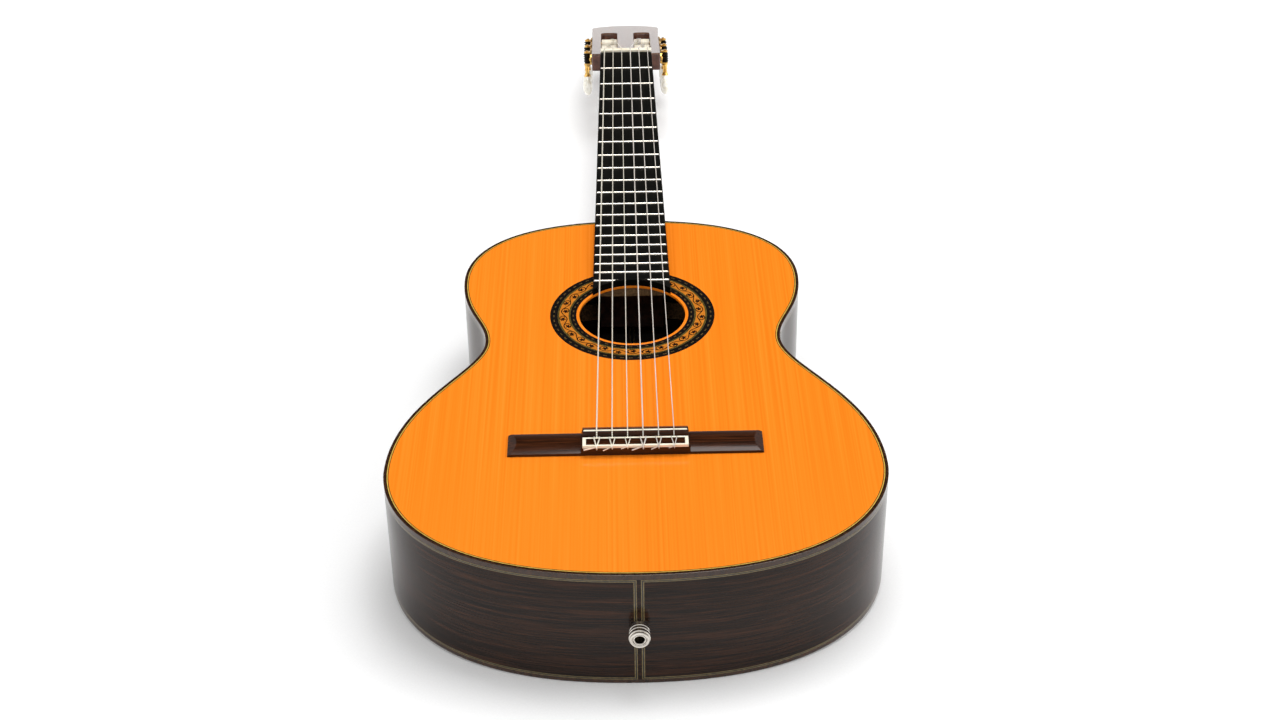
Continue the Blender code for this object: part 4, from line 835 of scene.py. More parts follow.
def make_back():
    """The arched back in two halves with an inlaid centre line, and its binding."""
    plate = outline_plate(0.0)
    low, high = ("back", 0.0), ("back", BACK_BINDING_HEIGHT)
    rims = [rim_off(plate, width) for width in (BINDING, *SIDE_LINES)]
    binding = soften(stood_up(rims[0], low, high), 0.4 * MM, 2, 60)
    finish(binding, "back_edge_binding", BINDING_WOOD, stands_for=["back_binding"])
    for i, (rim, material) in enumerate(zip(rims[1:], (LIGHT_LINE, DARK_LINE, LIGHT_LINE))):
        line = stood_up(rim, low, ("back", PURFLING_DEPTH))
        finish(line, f"back_purfling_{i + 1}", material)
    strips = 30
    with editing(plate):
        for i in range(1, strips):
            x = LOWER_BOUT_HALF * (2 * i / strips - 1)
            bpy.ops.mesh.select_all(action="SELECT")
            bpy.ops.mesh.bisect(plane_co=(x, 0, 0), plane_no=(1, 0, 0))
    for vert in plate.data.vertices:
        vert.co.z = back_height(vert.co.x)
    raise_by(plate, BACK_THICKNESS)
    inlay, edge = 1.0 * MM, 2.4 * MM
    parts = (
        ("back_inlay_middle", -inlay, inlay, DARK_LINE, "binding_wood", ()),
        ("back_inlay_left", -edge, -inlay, LIGHT_LINE, "binding_wood", ()),
        ("back_inlay_right", inlay, edge, LIGHT_LINE, "binding_wood", ()),
        ("bass_back", None, -edge, BACK_WOOD, "rosewood", ("back_bass",)),
        ("treble_back", edge, None, BACK_WOOD, "rosewood", ("back_treble",)),
    )
    for name, start, stop, material, slot, nodes in parts:
        part = keep_between(copy_of(plate), start, stop)
        finish(part, name, material, stands_for=nodes)
    drop(plate)


# ---------------------------------------------------------------- neck and fingerboard

NUT_HALF = 25.5 * MM
BODY_JOIN_HALF = 30.25 * MM
NECK_DEPTHS = (16.0 * MM, 17.5 * MM)
HEEL_LENGTH = 75 * MM
HEEL_CAP_LENGTH = 21 * MM
HEEL_CAP_HALF = 15 * MM
HEEL_CAP_THICKNESS = 3 * MM
HEEL_SWEEP = 2.4
HEEL_TAPER = 0.7
KEEL_HALF = 1.5 * MM
FOOT_HALF = 30 * MM
FOOT_LENGTH = 27 * MM
HEAD_START = 6.3 * MM
FINGERBOARD_TOP = TOP + 6.0 * MM
FRET_COUNT = 19
FRET_HEIGHT = 1.0 * MM
FRET_HALF_WIDTH = 1.1 * MM
GAP = 0.3 * MM


def along(distance):
    """The Y of a place at this distance from the nut towards the tail."""
    return NUT_Y - distance


def board_half(distance):
    """Half the fingerboard's width at this distance from the nut."""
    return NUT_HALF + (BODY_JOIN_HALF - NUT_HALF) * max(distance, 0.0) / BODY_TOP


def heel_shape(distance):
    """The neck's depth, its keel's half width and its side's taper at this distance."""
    end = BODY_TOP - GAP
    heel_start = end - HEEL_LENGTH
    flat_start = end - HEEL_CAP_LENGTH
    full = TOP - HEEL_CAP_THICKNESS - GAP
    shaft = NECK_DEPTHS[0] + (NECK_DEPTHS[1] - NECK_DEPTHS[0]) * min(max(distance / heel_start, 0), 1)
    sweep = min(max((distance - heel_start) / (flat_start - heel_start), 0), 1)
    depth = shaft + (full - shaft) * sweep**HEEL_SWEEP
    cap = min(max((distance - flat_start) / HEEL_CAP_LENGTH, 0), 1)
    keel = KEEL_HALF + (HEEL_CAP_HALF - KEEL_HALF) * math.sqrt(cap)
    return depth, keel, 1 + HEEL_TAPER * sweep


def neck_ring(distance, steps=14):
    """The neck's section at this distance as points: flat on top, round below."""
    depth, keel, taper = heel_shape(distance)
    half = board_half(distance)
    right = []
    for i in range(steps + 1):
        turn = 0.5 * math.pi * i / steps
        x = keel + (half - keel) * max(math.cos(turn), 0.0) ** taper
        right.append((x, depth * math.sin(turn)))
    section = right + [(-x, down) for x, down in reversed(right)]
    if distance > 0:
        return [(x, along(distance), TOP - down) for x, down in section]
    return [(x, *head_end(down)) for x, down in section]


def head_end(down):
    """Where a plane across the tilted head meets the neck, this far below the top's face."""
    rise = TOP - down - HEAD_ORIGIN.z
    y = NUT_Y + (HEAD_START + rise * math.sin(HEAD_TILT)) / math.cos(HEAD_TILT)
    return y, TOP - down


def make_neck():
    """The cedar neck with its heel and the foot inside the body, and the heel's cap."""
    end = BODY_TOP - GAP
    heel_start = end - HEEL_LENGTH
    flat_start = end - HEEL_CAP_LENGTH
    places = [0.0, 0.02, 0.3 * heel_start, 0.7 * heel_start]
    places += [heel_start + (flat_start - heel_start) * i / 20 for i in range(21)]
    places += [flat_start + HEEL_CAP_LENGTH * (i / 10) ** 2 for i in range(1, 11)]
    neck = skin([neck_ring(place) for place in places])
    low = (-FOOT_HALF, along(BODY_TOP + FOOT_LENGTH), 4 * MM)
    foot = block(low, (FOOT_HALF, along(BODY_TOP + 2.6 * MM), TOP - 3 * MM))
    joined(neck, soften(foot, 3 * MM, 3))
    finish(neck, "cedar_neck", CEDAR, stands_for=["neck"], smooth=50)
    steps = 12
    right = []
    for i in range(steps + 1):
        place = flat_start + HEEL_CAP_LENGTH * (i / steps) ** 2
        right.append((heel_shape(place)[1], along(place)))
    cap = raise_by(polygon(right + [(-x, y) for x, y in reversed(right)]), HEEL_CAP_THICKNESS)
    soften(cap, 0.6 * MM, 2, 60)
    finish(cap, "rosewood_heel_cap", BACK_WOOD, stands_for=["heel_cap"])


def make_fingerboard():
    """The ebony fingerboard, cut round to the soundhole at its end, with its frets."""
    far = NUT_Y - HOLE_Y
    corners = [(board_half(0), along(0)), (board_half(far), along(far))]
    board = polygon(corners + [(-x, y) for x, y in reversed(corners)], TOP + GAP / 3)
    raise_by(board, FINGERBOARD_TOP - TOP - GAP / 3)
    middle = Vector((0, HOLE_Y, TOP))
    reach = Vector((0, 0, 20 * MM))
    cut(board, rod(middle - reach, middle + reach, HOLE_RADIUS, 160))
    soften(board, 0.5 * MM, 2, 60)
    finish(board, "ebony_fingerboard", EBONY, stands_for=["fingerboard"])
    make_frets(middle)


def make_frets(middle):
    """One fret is shaped with a round crown and filed ends; the others are copies of it."""
    steps = 8
    turns = [math.pi * i / steps for i in range(steps + 1)]
    crown = [(FRET_HALF_WIDTH * math.cos(a), FRET_HEIGHT * math.sin(a)) for a in turns]
    crown += [(-FRET_HALF_WIDTH, -0.3 * MM), (FRET_HALF_WIDTH, -0.3 * MM)]
    rings = []
    # At each end the crown is filed back: (side, how far in, its lean, its width).
    for side, inset, lean, wide in ((-1, 0, 0.9, 0.8), (-1, 0.5, 0.5, 1), (1, 0.5, 0.5, 1), (1, 0, 0.9, 0.8)):
        reach = NUT_HALF - inset * MM
        rings.append([(side * (reach - lean * max(z, 0)), y * wide, z) for y, z in crown])
    first = skin(rings)
    for number in range(1, FRET_COUNT + 1):
        distance = SCALE_LENGTH * (1 - 2 ** (-number / 12))
        wide = (board_half(distance) - 0.4 * MM) / NUT_HALF
        spot = Matrix.Translation((0, along(distance), FINGERBOARD_TOP - 0.02 * MM))
        fret = copy_of(first, spot @ Matrix.Diagonal((wide, 1, 1, 1)))
        if number == FRET_COUNT:
            reach = Vector((0, 0, 20 * MM))
            cut(fret, rod(middle - reach, middle + reach, HOLE_RADIUS + 0.6 * MM, 96))
        finish(fret, f"fret_{number}", FRET_WIRE)
    drop(first)


NUT_THICKNESS = 5.5 * MM
NUT_TOP = TOP + 8.2 * MM
STRING_RADII = tuple(size * MM for size in (0.355, 0.41, 0.51, 0.37, 0.43, 0.535))
NUT_SPREAD = 43 * MM
SADDLE_SPREAD = 57 * MM
STRING_AT_NUT = TOP + 7.6 * MM
STRING_AT_SADDLE = TOP + 12.3 * MM


def string_x(number, spread):
    """The x of a string: the first is outermost at +X, the sixth at -X."""
    return (3.5 - number) * spread / 5


def make_nut():
    """The bone nut, with a slot filed for each string."""
    nut = block((-NUT_HALF, NUT_Y + GAP / 3, TOP + GAP / 3), (NUT_HALF, NUT_Y + NUT_THICKNESS, NUT_TOP))
    soften(nut, 0.9 * MM, 3)
    for number, radius in enumerate(STRING_RADII, start=1):
        middle = Vector((string_x(number, NUT_SPREAD), NUT_Y + NUT_THICKNESS / 2, STRING_AT_NUT + radius))
        run = Vector((0, 2 * NUT_THICKNESS, -0.5 * MM))
        cut(nut, rod(middle - run, middle + run, radius + 0.08 * MM, 12))
    finish(nut, "bone_nut", BONE, stands_for=["nut"])


# ---------------------------------------------------------------- head and tuners

FACE_POINT = Vector(MOUNTS["head_face"]["pos_m"])
FACE_PLACE = (FACE_POINT.y - NUT_Y) / math.cos(HEAD_TILT)
HEAD_ORIGIN = Vector((0, NUT_Y, FACE_POINT.z + FACE_PLACE * math.sin(HEAD_TILT)))
HEAD = Matrix.Translation(HEAD_ORIGIN) @ Matrix.Rotation(-HEAD_TILT, 4, "X")
SIDEWAYS = Matrix(((0, 0, 1, 0), (1, 0, 0, 0), (0, 1, 0, 0), (0, 0, 0, 1)))
HEAD_THICKNESS = 17.4 * MM
VENEER = 2.0 * MM
HEAD_HALF = 34.6 * MM
SHOULDER_PLACE = 9.5 * MM
SHOULDER_SLOPE = 2.0 * MM
HEAD_FLARE = 1.0 * MM
SPINE_HALF = 8.5 * MM
SLOT_WIDTH = 17 * MM
SLOT_START = 22 * MM
SLOT_END = 134 * MM
HEAD_REACH = 178.7 * MM
CREST_TURN = math.radians(35)  # how far the arched crest turns on each side
CORNER_ROUND = 9.0 * MM
ROLLER_RADIUS = 5.0 * MM
GEAR_TEETH = 16
GEAR_RADIUS = 6.5 * MM
GEAR_ROOT = 5.4 * MM
GEAR_FACES = (38.3 * MM, 41.1 * MM)
PLATE_FACES = (34.9 * MM, 36.4 * MM)
PLATE_HALF = 7.5 * MM
PLATE_ENDS = (24 * MM, 125 * MM)
WORM_ROOT = 2.6 * MM
WORM_HALF = 5.1 * MM
WORM_LEAD = math.tau * 5.95 * MM / GEAR_TEETH
LUG_THICKNESS = 1.4 * MM
LUG_HALF = 3.1 * MM
COLLAR_LENGTH = 11 * MM
BUTTON_LENGTH = 20 * MM
BUTTON_HALF_WIDTH = 8.5 * MM
BUTTON_FLATNESS = 4.8 / 8.5
POST_CONTACTS = (20.0 * MM, 16.5 * MM, 12.5 * MM)


def head_spot(joint):
    """A joint's place in the head's frame: across, along the face, above it."""
    return HEAD.inverted() @ Vector(JOINTS[joint]["pos_m"])


def head_corners():
    """The head's outline in its face, from the nut end round to the arched crest."""
    wide = HEAD_HALF + HEAD_FLARE
    right = [
        (NUT_HALF, HEAD_START + GAP),
        (NUT_HALF, SHOULDER_PLACE - 1.5 * MM),
        (NUT_HALF + 0.4 * MM, SHOULDER_PLACE - 0.4 * MM),
        (NUT_HALF + 1.5 * MM, SHOULDER_PLACE),
        (HEAD_HALF - SHOULDER_SLOPE, SHOULDER_PLACE + 0.3 * MM),
        (HEAD_HALF - 0.5 * MM, SHOULDER_PLACE + 1.0 * MM),
        (HEAD_HALF, SHOULDER_PLACE + SHOULDER_SLOPE + 0.4 * MM),
        (HEAD_HALF, SLOT_END + 9.5 * MM),
        (HEAD_HALF + 0.6 * HEAD_FLARE, SLOT_END + 18 * MM),
    ]
    # The crest's arc and the round corners share a tangent where they meet.
    half = wide - CORNER_ROUND
    radius = half / math.sin(CREST_TURN) + CORNER_ROUND
    middle = HEAD_REACH - radius
    corner = middle + (radius - CORNER_ROUND) * math.cos(CREST_TURN)
    for i in range(7):
        turn = (math.pi / 2 - CREST_TURN) * i / 6
        right.append((half + CORNER_ROUND * math.cos(turn), corner + CORNER_ROUND * math.sin(turn)))
    for i in range(1, 12):
        turn = CREST_TURN * (1 - i / 12)
        right.append((radius * math.sin(turn), middle + radius * math.cos(turn)))
    return right + [(0, HEAD_REACH)] + [(-x, place) for x, place in reversed(right)]


def slot_cutters():
    """A long opening with rounded corners through the head for each slot."""
    half, corner = SLOT_WIDTH / 2, 5.5 * MM
    made = []
    for side in (-1, 1):
        middle = side * (SPINE_HALF + half)
        corners = (
            (half - corner, SLOT_END - corner, 0),
            (corner - half, SLOT_END - corner, 1),
            (corner - half, SLOT_START + corner, 2),
            (half - corner, SLOT_START + corner, 3),
        )
        points = []
        for x, place, quarter in corners:
            for i in range(9):
                turn = math.pi / 2 * (quarter + i / 8)
                points.append((middle + x + corner * math.cos(turn), place + corner * math.sin(turn)))
        made.append(raise_by(polygon(points, -2 * HEAD_THICKNESS), 3 * HEAD_THICKNESS))
    return made


def make_head():
    """The slotted head of cedar under its rosewood veneer, bored for the posts."""
    head = raise_by(polygon(head_corners(), -HEAD_THICKNESS), HEAD_THICKNESS - VENEER)
    veneer = raise_by(polygon(head_corners(), -VENEER), VENEER)
    cut(head, *slot_cutters())
    cut(veneer, *slot_cutters())
    soften(head, 0.8 * MM, 3, 60)
    soften(veneer, 0.4 * MM, 2, 60)
    for side in (-1, 1):
        for i in range(3):
            post = head_spot(f"string_post_{i + 1}_turn")
            ends = [Vector((side * x, post.y, post.z)) for x in (SPINE_HALF - 5 * MM, 2 * HEAD_HALF)]
            cut(head, rod(*ends, 3.35 * MM, 24))
    head.data.transform(HEAD)
    veneer.data.transform(HEAD)
    finish(head, "cedar_head", CEDAR, stands_for=["headstock"])
    finish(veneer, "rosewood_head_veneer", HEAD_WOOD, stands_for=["head_veneer"])


def slotted_screw(radius, height):
    """A domed screw head with a cut slot, standing on Z = 0."""
    turns = [math.pi / 2 * i / 6 for i in range(7)]
    dome = [(height * (0.45 + 0.55 * math.sin(a)), radius * math.cos(a)) for a in turns]
    head = turned([(0, 0), (0, radius)] + dome, (0, 0, 0), (0, 0, 1), 24)
    slot = block((-1.2 * radius, -0.13 * radius, 0.5 * height), (1.2 * radius, 0.13 * radius, 2 * height))
    return cut(head, slot)


def make_plate(label, side):
    """A side plate with a waved outline, three pairs of bent lugs and four screws."""
    numbers = (1, 2, 3) if side > 0 else (6, 5, 4)
    posts = [head_spot(f"string_post_{number}_turn") for number in numbers]
    worms = [head_spot(f"tuner_knob_{number}_turn") for number in numbers]
    depth, pitch, radius = posts[0].z, posts[1].y - posts[0].y, 3.35 * MM
    start, stop = PLATE_ENDS
    upper = []
    for i in range(61):
        place = start + (stop - start) * i / 60
        wave = 0.86 + 0.14 * math.cos(math.tau * (place - posts[0].y + 3 * MM) / pitch)
        end = min(place - start, stop - place) / (4 * MM)
        upper.append((place, PLATE_HALF * wave * math.sqrt(1 - (1 - min(end, 1)) ** 2 * 0.75)))
    points = [(place, depth + wide) for place, wide in upper]
    points += [(place, depth - wide) for place, wide in reversed(upper)]
    plate = raise_by(polygon(points, PLATE_FACES[0]), PLATE_FACES[1] - PLATE_FACES[0])
    plate.data.transform(SIDEWAYS)
    for post in posts:
        ends = [Vector((x, post.y, post.z)) for x in (HEAD_HALF - 5 * MM, HEAD_HALF + 5 * MM)]
        cut(plate, rod(*ends, radius, 24))
    soften(plate, 0.25 * MM, 2, 50)
    first = raise_by(polygon(lug_corners(worms[0].x * side), -LUG_THICKNESS / 2), LUG_THICKNESS)
    cut(first, rod((worms[0].x * side, 0, -1), (worms[0].x * side, 0, 1), 1.6 * MM, 20))
    soften(first, 0.3 * MM, 2, 50)
    lugs = []
    for worm in worms:
        for end in (-1, 1):
            away = end * (WORM_HALF + GAP + LUG_THICKNESS / 2)
            lugs.append(copy_of(first, Matrix.Translation((0, worm.y, depth + away))))
    drop(first)
    screw = slotted_screw(1.9 * MM, 1.1 * MM)
    places = [start + 2.6 * MM, posts[0].y + 0.4 * pitch, posts[1].y + 0.4 * pitch, stop - 2.8 * MM]
    for i, place in enumerate(places):
        spot = Matrix.Translation((PLATE_FACES[1], place, depth)) @ Matrix.Rotation(math.pi / 2, 4, "Y")
        lugs.append(copy_of(screw, spot @ Matrix.Rotation(0.7 * i + 0.4, 4, "Z")))
    drop(screw)
    place_on_head(joined(plate, *lugs), side)
    finish(plate, f"gold_plate_{label}", GOLD, stands_for=[f"tuner_plate_{label}"])


def lug_corners(worm_x):
    """A lug's outline from the plate out round the worm's end."""
    turns = [math.pi * (i / 12 - 0.5) for i in range(13)]
    round_end = [(worm_x + LUG_HALF * math.cos(a), LUG_HALF * math.sin(a)) for a in turns]
    root = PLATE_FACES[1] - 0.4 * MM
    return [(root, -LUG_HALF)] + round_end + [(root, LUG_HALF)]


def place_on_head(obj, side):
    """Moves a piece made on the treble side into the head's frame, on this side."""
    matrix = HEAD @ Matrix.Scale(side, 4, (1, 0, 0))
    obj.data.transform(matrix)
    if side < 0:
        obj.data.flip_normals()
    return obj


def gear_wheel():
    """A worm gear: trapezoid teeth, softened, with a bored hub, its axis along X."""
    points = []
    tooth = ((-0.30, GEAR_ROOT), (-0.14, GEAR_RADIUS), (0.14, GEAR_RADIUS), (0.30, GEAR_ROOT))
    for i in range(GEAR_TEETH):
        for share, radius in tooth:
            turn = math.tau * (i + share) / GEAR_TEETH
            points.append((radius * math.cos(turn), radius * math.sin(turn)))
    wheel = raise_by(polygon(points, GEAR_FACES[0]), GEAR_FACES[1] - GEAR_FACES[0])
    low, high = (Vector((0, 0, z)) for z in (GEAR_FACES[0] - 1 * MM, GEAR_FACES[1] + 1 * MM))
    cut(wheel, rod(low, high, 2.35 * MM, 24))
    soften(wheel, 0.2 * MM, 1, 50)
    wheel.data.transform(SIDEWAYS)
    return wheel


def roller_parts():
    """The cream roller, the steel shaft and the gear's screw, along X from the spine."""
    inner, outer = SPINE_HALF + GAP, SPINE_HALF + SLOT_WIDTH - GAP
    r = ROLLER_RADIUS
    profile = [(inner, 2.4 * MM), (inner, r - 0.5 * MM), (inner + 0.5 * MM, r)]
    profile += [(outer - 0.5 * MM, r), (outer, r - 0.5 * MM), (outer, 2.4 * MM)]
    roller = turned(profile, (0, 0, 0), (1, 0, 0), 40)
    start, gear_end = SPINE_HALF - 4.7 * MM, GEAR_FACES[1] + 0.2 * MM
    thin, thick, collar = 2.0 * MM, 2.35 * MM, 3.0 * MM
    shaft = [(start, 0), (start, thin), (start + 0.3 * MM, thick), (outer + 0.1 * MM, thick)]
    shaft += [(outer + 0.1 * MM, collar), (GEAR_FACES[0] - GAP, collar), (GEAR_FACES[0] - GAP, thin)]
    shaft += [(gear_end, thin), (gear_end, 0)]
    steel = turned(shaft, (0, 0, 0), (1, 0, 0), 32)
    screw = slotted_screw(3.1 * MM, 1.4 * MM)
    outside = Matrix.Translation((GEAR_FACES[1] + 0.1 * MM, 0, 0))
    screw.data.transform(outside @ Matrix.Rotation(math.pi / 2, 4, "Y"))
    return roller, steel, screw


def worm_parts():
    """The black worm with its thread, the gilt shaft and collar through it, and the pearl
    button, along the head's normal."""
    lug = WORM_HALF + GAP + LUG_THICKNESS
    collar = -lug - GAP
    top = collar - COLLAR_LENGTH
    shaft = [(lug + 0.8 * MM, 0), (lug + 0.8 * MM, 0.9 * MM), (lug + 0.4 * MM, 1.4 * MM)]
    shaft += [(collar, 1.4 * MM), (collar, 2.6 * MM), (collar - 1 * MM, 2.9 * MM)]
    shaft += [(collar - 2 * MM, 2.2 * MM), (top + 3.5 * MM, 1.9 * MM), (top + 1.6 * MM, 2.5 * MM)]
    shaft += [(top, 3.2 * MM), (top - 0.6 * MM, 3.2 * MM), (top - 0.6 * MM, 0)]
    collar_piece = turned(shaft, (0, 0, 0), (0, 0, 1), 32)
    bore = 1.35 * MM
    sleeve = [(WORM_HALF, bore), (WORM_HALF, WORM_ROOT), (-WORM_HALF, WORM_ROOT), (-WORM_HALF, bore)]
    worm = turned(sleeve, (0, 0, 0), (0, 0, 1), 32)
    turns = 3.6
    steps = int(turns * 20)
    points = []
    for i in range(steps + 1):
        height = (i / steps - 0.5) * turns * WORM_LEAD
        turn = math.tau * height / WORM_LEAD
        # The groove, not the thread, faces the gear's tooth where the two mesh.
        shift = turn + math.pi / 2 + math.pi
        reach = WORM_ROOT + 0.45 * MM
        points.append((reach * math.cos(shift), reach * math.sin(shift), height))
    worm = joined(worm, tube(points, 0.6 * MM, 2))
    h, w = BUTTON_LENGTH, BUTTON_HALF_WIDTH
    outline = ((0.0, 0.0), (0.0, 0.36), (0.03, 0.45), (0.10, 0.52), (0.2, 0.76), (0.32, 0.93), (0.46, 1.0))
    outline += ((0.62, 0.99), (0.76, 0.90), (0.87, 0.72), (0.95, 0.46), (0.99, 0.2), (1.0, 0.0))
    button = turned([(top - GAP - h * s, w * r) for s, r in outline], (0, 0, 0), (0, 0, 1), 40)
    button.data.transform(Matrix.Scale(BUTTON_FLATNESS, 4, (1, 0, 0)))
    return worm, collar_piece, button


def winding(number, contact, inward):
    """The string's turns round its roller, with the end tucked into the roller."""
    radius = STRING_RADII[number - 1]
    coil = ROLLER_RADIUS + radius
    pitch = 2 * radius + 0.12 * MM
    points = []
    for i in range(16 * 3 + 5):
        turn = math.radians(95) - math.tau * i / 16
        x = contact + inward * pitch * i / 16
        points.append((x, coil * math.cos(turn), coil * math.sin(turn)))
    x, y, z = points[-1]
    points.append((x, 0.55 * y, 0.55 * z))
    return tube(points, radius, 2)


def make_tuners():
    """One tuner is modelled and copied to the six posts; the windings differ by string."""
    wheel = gear_wheel()
    roller, steel, screw = roller_parts()
    worm, collar, button = worm_parts()
    post_pieces = (
        (wheel, "worm_gear", BLACK_STEEL, "black_gear", "gear"),
        (roller, "roller", ROLLER_NYLON, "roller", "string_post"),
        (steel, "roller_shaft", GOLD, "gold_plate", "string_post"),
        (screw, "gear_screw", GOLD, "gold_plate", "string_post"),
    )
    knob_pieces = (
        (worm, "worm", BLACK_STEEL, "black_gear"),
        (collar, "worm_shaft", GOLD, "gold_plate"),
        (button, "pearl_button", PEARL, "button"),
    )
    for number in range(1, 7):
        side = -1 if number > 3 else 1
        order = 6 - number if number > 3 else number - 1
        post = head_spot(f"string_post_{number}_turn")
        at_post = Matrix.Translation((0, post.y, post.z))
        for shape, name, material, slot, node in post_pieces:
            made = place_on_head(copy_of(shape, at_post), side)
            finish(made, f"{name}_{number}", material, f"post_{number}", [f"{node}_{number}"])
        turns = winding(number, POST_CONTACTS[order], -1 if order == 0 else 1)
        turns.data.transform(at_post)
        place_on_head(turns, side)
        material, slot = (WINDING, "wound_string") if number > 3 else (NYLON, "plain_string")
        finish(turns, f"string_winding_{number}", material, f"post_{number}")
        at_worm = HEAD @ Matrix.Translation(head_spot(f"tuner_knob_{number}_turn"))
        for shape, name, material, slot in knob_pieces:
            made = copy_of(shape, at_worm)
            finish(made, f"{name}_{number}", material, f"knob_{number}", [f"tuner_knob_{number}"])
    for shape, *_ in post_pieces + knob_pieces:
        drop(shape)


# ---------------------------------------------------------------- bridge, strings and jack

BRIDGE_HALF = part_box("bridge")[1].x
BRIDGE_FRONT_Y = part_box("bridge")[1].y
BRIDGE_DEPTH = 25.0 * MM
SADDLE_Y = (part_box("saddle")[0].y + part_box("saddle")[1].y) / 2
SADDLE_HALF = 38.4 * MM
SADDLE_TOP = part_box("saddle")[1].z
SADDLE_THICKNESS = 2.0 * MM
TIE_BLOCK_HALF = 39.0 * MM
TRIM_BAR = 1.6 * MM
TRIM_END = 2.6 * MM
TRIM_LIP = 6.7 * MM
BLOCK_FRONT = BRIDGE_DEPTH - 10.7 * MM
WING_HEIGHT = 4.0 * MM
WING_DOME = 0.42
WING_END_HEIGHT = 1.3 * MM
WING_END_SLOPE = 0.42
RIDGE_HEIGHT = 11.8 * MM
CHANNEL_HEIGHT = 4.0 * MM
SHELF = 7.7 * MM
BLOCK_TOP = 9.0 * MM
HOLE_HEIGHT = 5.5 * MM


def wing_height(distance):
    """A wing's domed top at this distance from the bridge's front edge."""
    return WING_HEIGHT * (1 - WING_DOME * (2 * distance / BRIDGE_DEPTH - 1) ** 2)


def bridge_ring(x, is_wing):
    """The bridge's section at this x: a domed wing, or the saddle's ridge and tie block."""
    middle = BRIDGE_FRONT_Y - SADDLE_Y
    slot = SADDLE_THICKNESS / 2 + 0.05 * MM
    step = 0.1 * MM
    shape = [
        (0.0, 0.05 * MM),
        (0.0, 2.0 * MM),
        (1.2 * MM, 0.5 * RIDGE_HEIGHT),
        (3.5 * MM, 0.86 * RIDGE_HEIGHT),
        (middle - slot - 1.2 * MM, RIDGE_HEIGHT),
        (middle - slot - step, RIDGE_HEIGHT),
        (middle - slot, 2.5 * MM),
        (middle + slot, 2.5 * MM),
        (middle + slot + step, RIDGE_HEIGHT),
        (middle + slot + 0.9 * MM, RIDGE_HEIGHT - 0.9 * MM),
        (middle + slot + 2.6 * MM, CHANNEL_HEIGHT),
        (BLOCK_FRONT - step, CHANNEL_HEIGHT),
        *[(BLOCK_FRONT + i / 4 * (BRIDGE_DEPTH - step - BLOCK_FRONT), SHELF) for i in range(5)],
        (BRIDGE_DEPTH, SHELF - step),
        (BRIDGE_DEPTH, 0.05 * MM),
    ]
    if is_wing:
        upper = [(d, wing_height(d)) for d, _ in shape[1:-1]]
        shape = [shape[0], *upper, shape[-1]]
    return [(x, BRIDGE_FRONT_Y - d, TOP + z) for d, z in shape]


def make_bridge():
    """The bridge with its domed wings, whose ends are planed down to a slanted facet."""
    places = [(BRIDGE_HALF, True), (TIE_BLOCK_HALF + 1.5 * MM, True), (TIE_BLOCK_HALF, False)]
    rings = [bridge_ring(-x, is_wing) for x, is_wing in places]
    rings += [bridge_ring(x, is_wing) for x, is_wing in reversed(places)]
    bridge = skin(rings)
    for side in (-1, 1):
        with editing(bridge):
            bpy.ops.mesh.bisect(
                plane_co=(side * BRIDGE_HALF, 0, TOP + WING_END_HEIGHT),
                plane_no=(side * WING_END_SLOPE, 0, 1),
                use_fill=True,
                clear_outer=True,
            )
            bpy.ops.mesh.select_all(action="DESELECT")
    for number, radius in enumerate(STRING_RADII, start=1):
        x = string_x(number, SADDLE_SPREAD)
        start = (x, BRIDGE_FRONT_Y - BLOCK_FRONT + 1 * MM, TOP + HOLE_HEIGHT)
        stop = (x, BRIDGE_FRONT_Y - BRIDGE_DEPTH - 1 * MM, TOP + HOLE_HEIGHT)
        cut(bridge, rod(start, stop, radius + 0.35 * MM, 16))
    soften(bridge, 0.3 * MM, 2, 18)
    finish(bridge, "rosewood_bridge", BRIDGE_WOOD, stands_for=["bridge"], smooth=25)
    make_tie_block_trim()
    half = SADDLE_THICKNESS / 2
    low = (-SADDLE_HALF, SADDLE_Y - half, TOP + 4.2 * MM)
    saddle = block(low, (SADDLE_HALF, SADDLE_Y + half, SADDLE_TOP))
    soften(saddle, 0.8 * MM, 4)
    finish(saddle, "bone_saddle", BONE, stands_for=["saddle"])


def make_tie_block_trim():
    """A bone frame round the tie block's top, with a lip down its back, and the rosewood
    panel inside it."""
    front, back = BRIDGE_FRONT_Y - BLOCK_FRONT, BRIDGE_FRONT_Y - BRIDGE_DEPTH
    low, high = TOP + SHELF, TOP + BLOCK_TOP
    lip = TOP + TRIM_LIP
    frame_piece = block((-TIE_BLOCK_HALF, back - 0.2 * MM, lip), (TIE_BLOCK_HALF, front, high))
    inner = TIE_BLOCK_HALF - TRIM_END
    window = block((-inner, back + TRIM_BAR, lip - 1 * MM), (inner, front - TRIM_BAR, high + 1 * MM))
    cut(frame_piece, window)
    soften(frame_piece, 0.3 * MM, 2, 60)
    finish(frame_piece, "bone_trim", BONE, stands_for=["tie_block_trim"])
    gap = 0.05 * MM
    start = (-inner + gap, back + TRIM_BAR + gap, low)
    panel = block(start, (inner - gap, front - TRIM_BAR - gap, high - 0.1 * MM))
    soften(panel, 0.15 * MM, 1, 60)
    finish(panel, "tie_block_panel", BRIDGE_WOOD)


# Each string's cut end: how far it reaches sideways and how far it drops.
TAILS = tuple(
    (reach * MM, drop * MM)
    for reach, drop in ((4.2, 2.4), (5.6, 3.4), (8.4, 4.0), (5.0, 2.4), (6.8, 3.9), (9.6, 3.2))
)


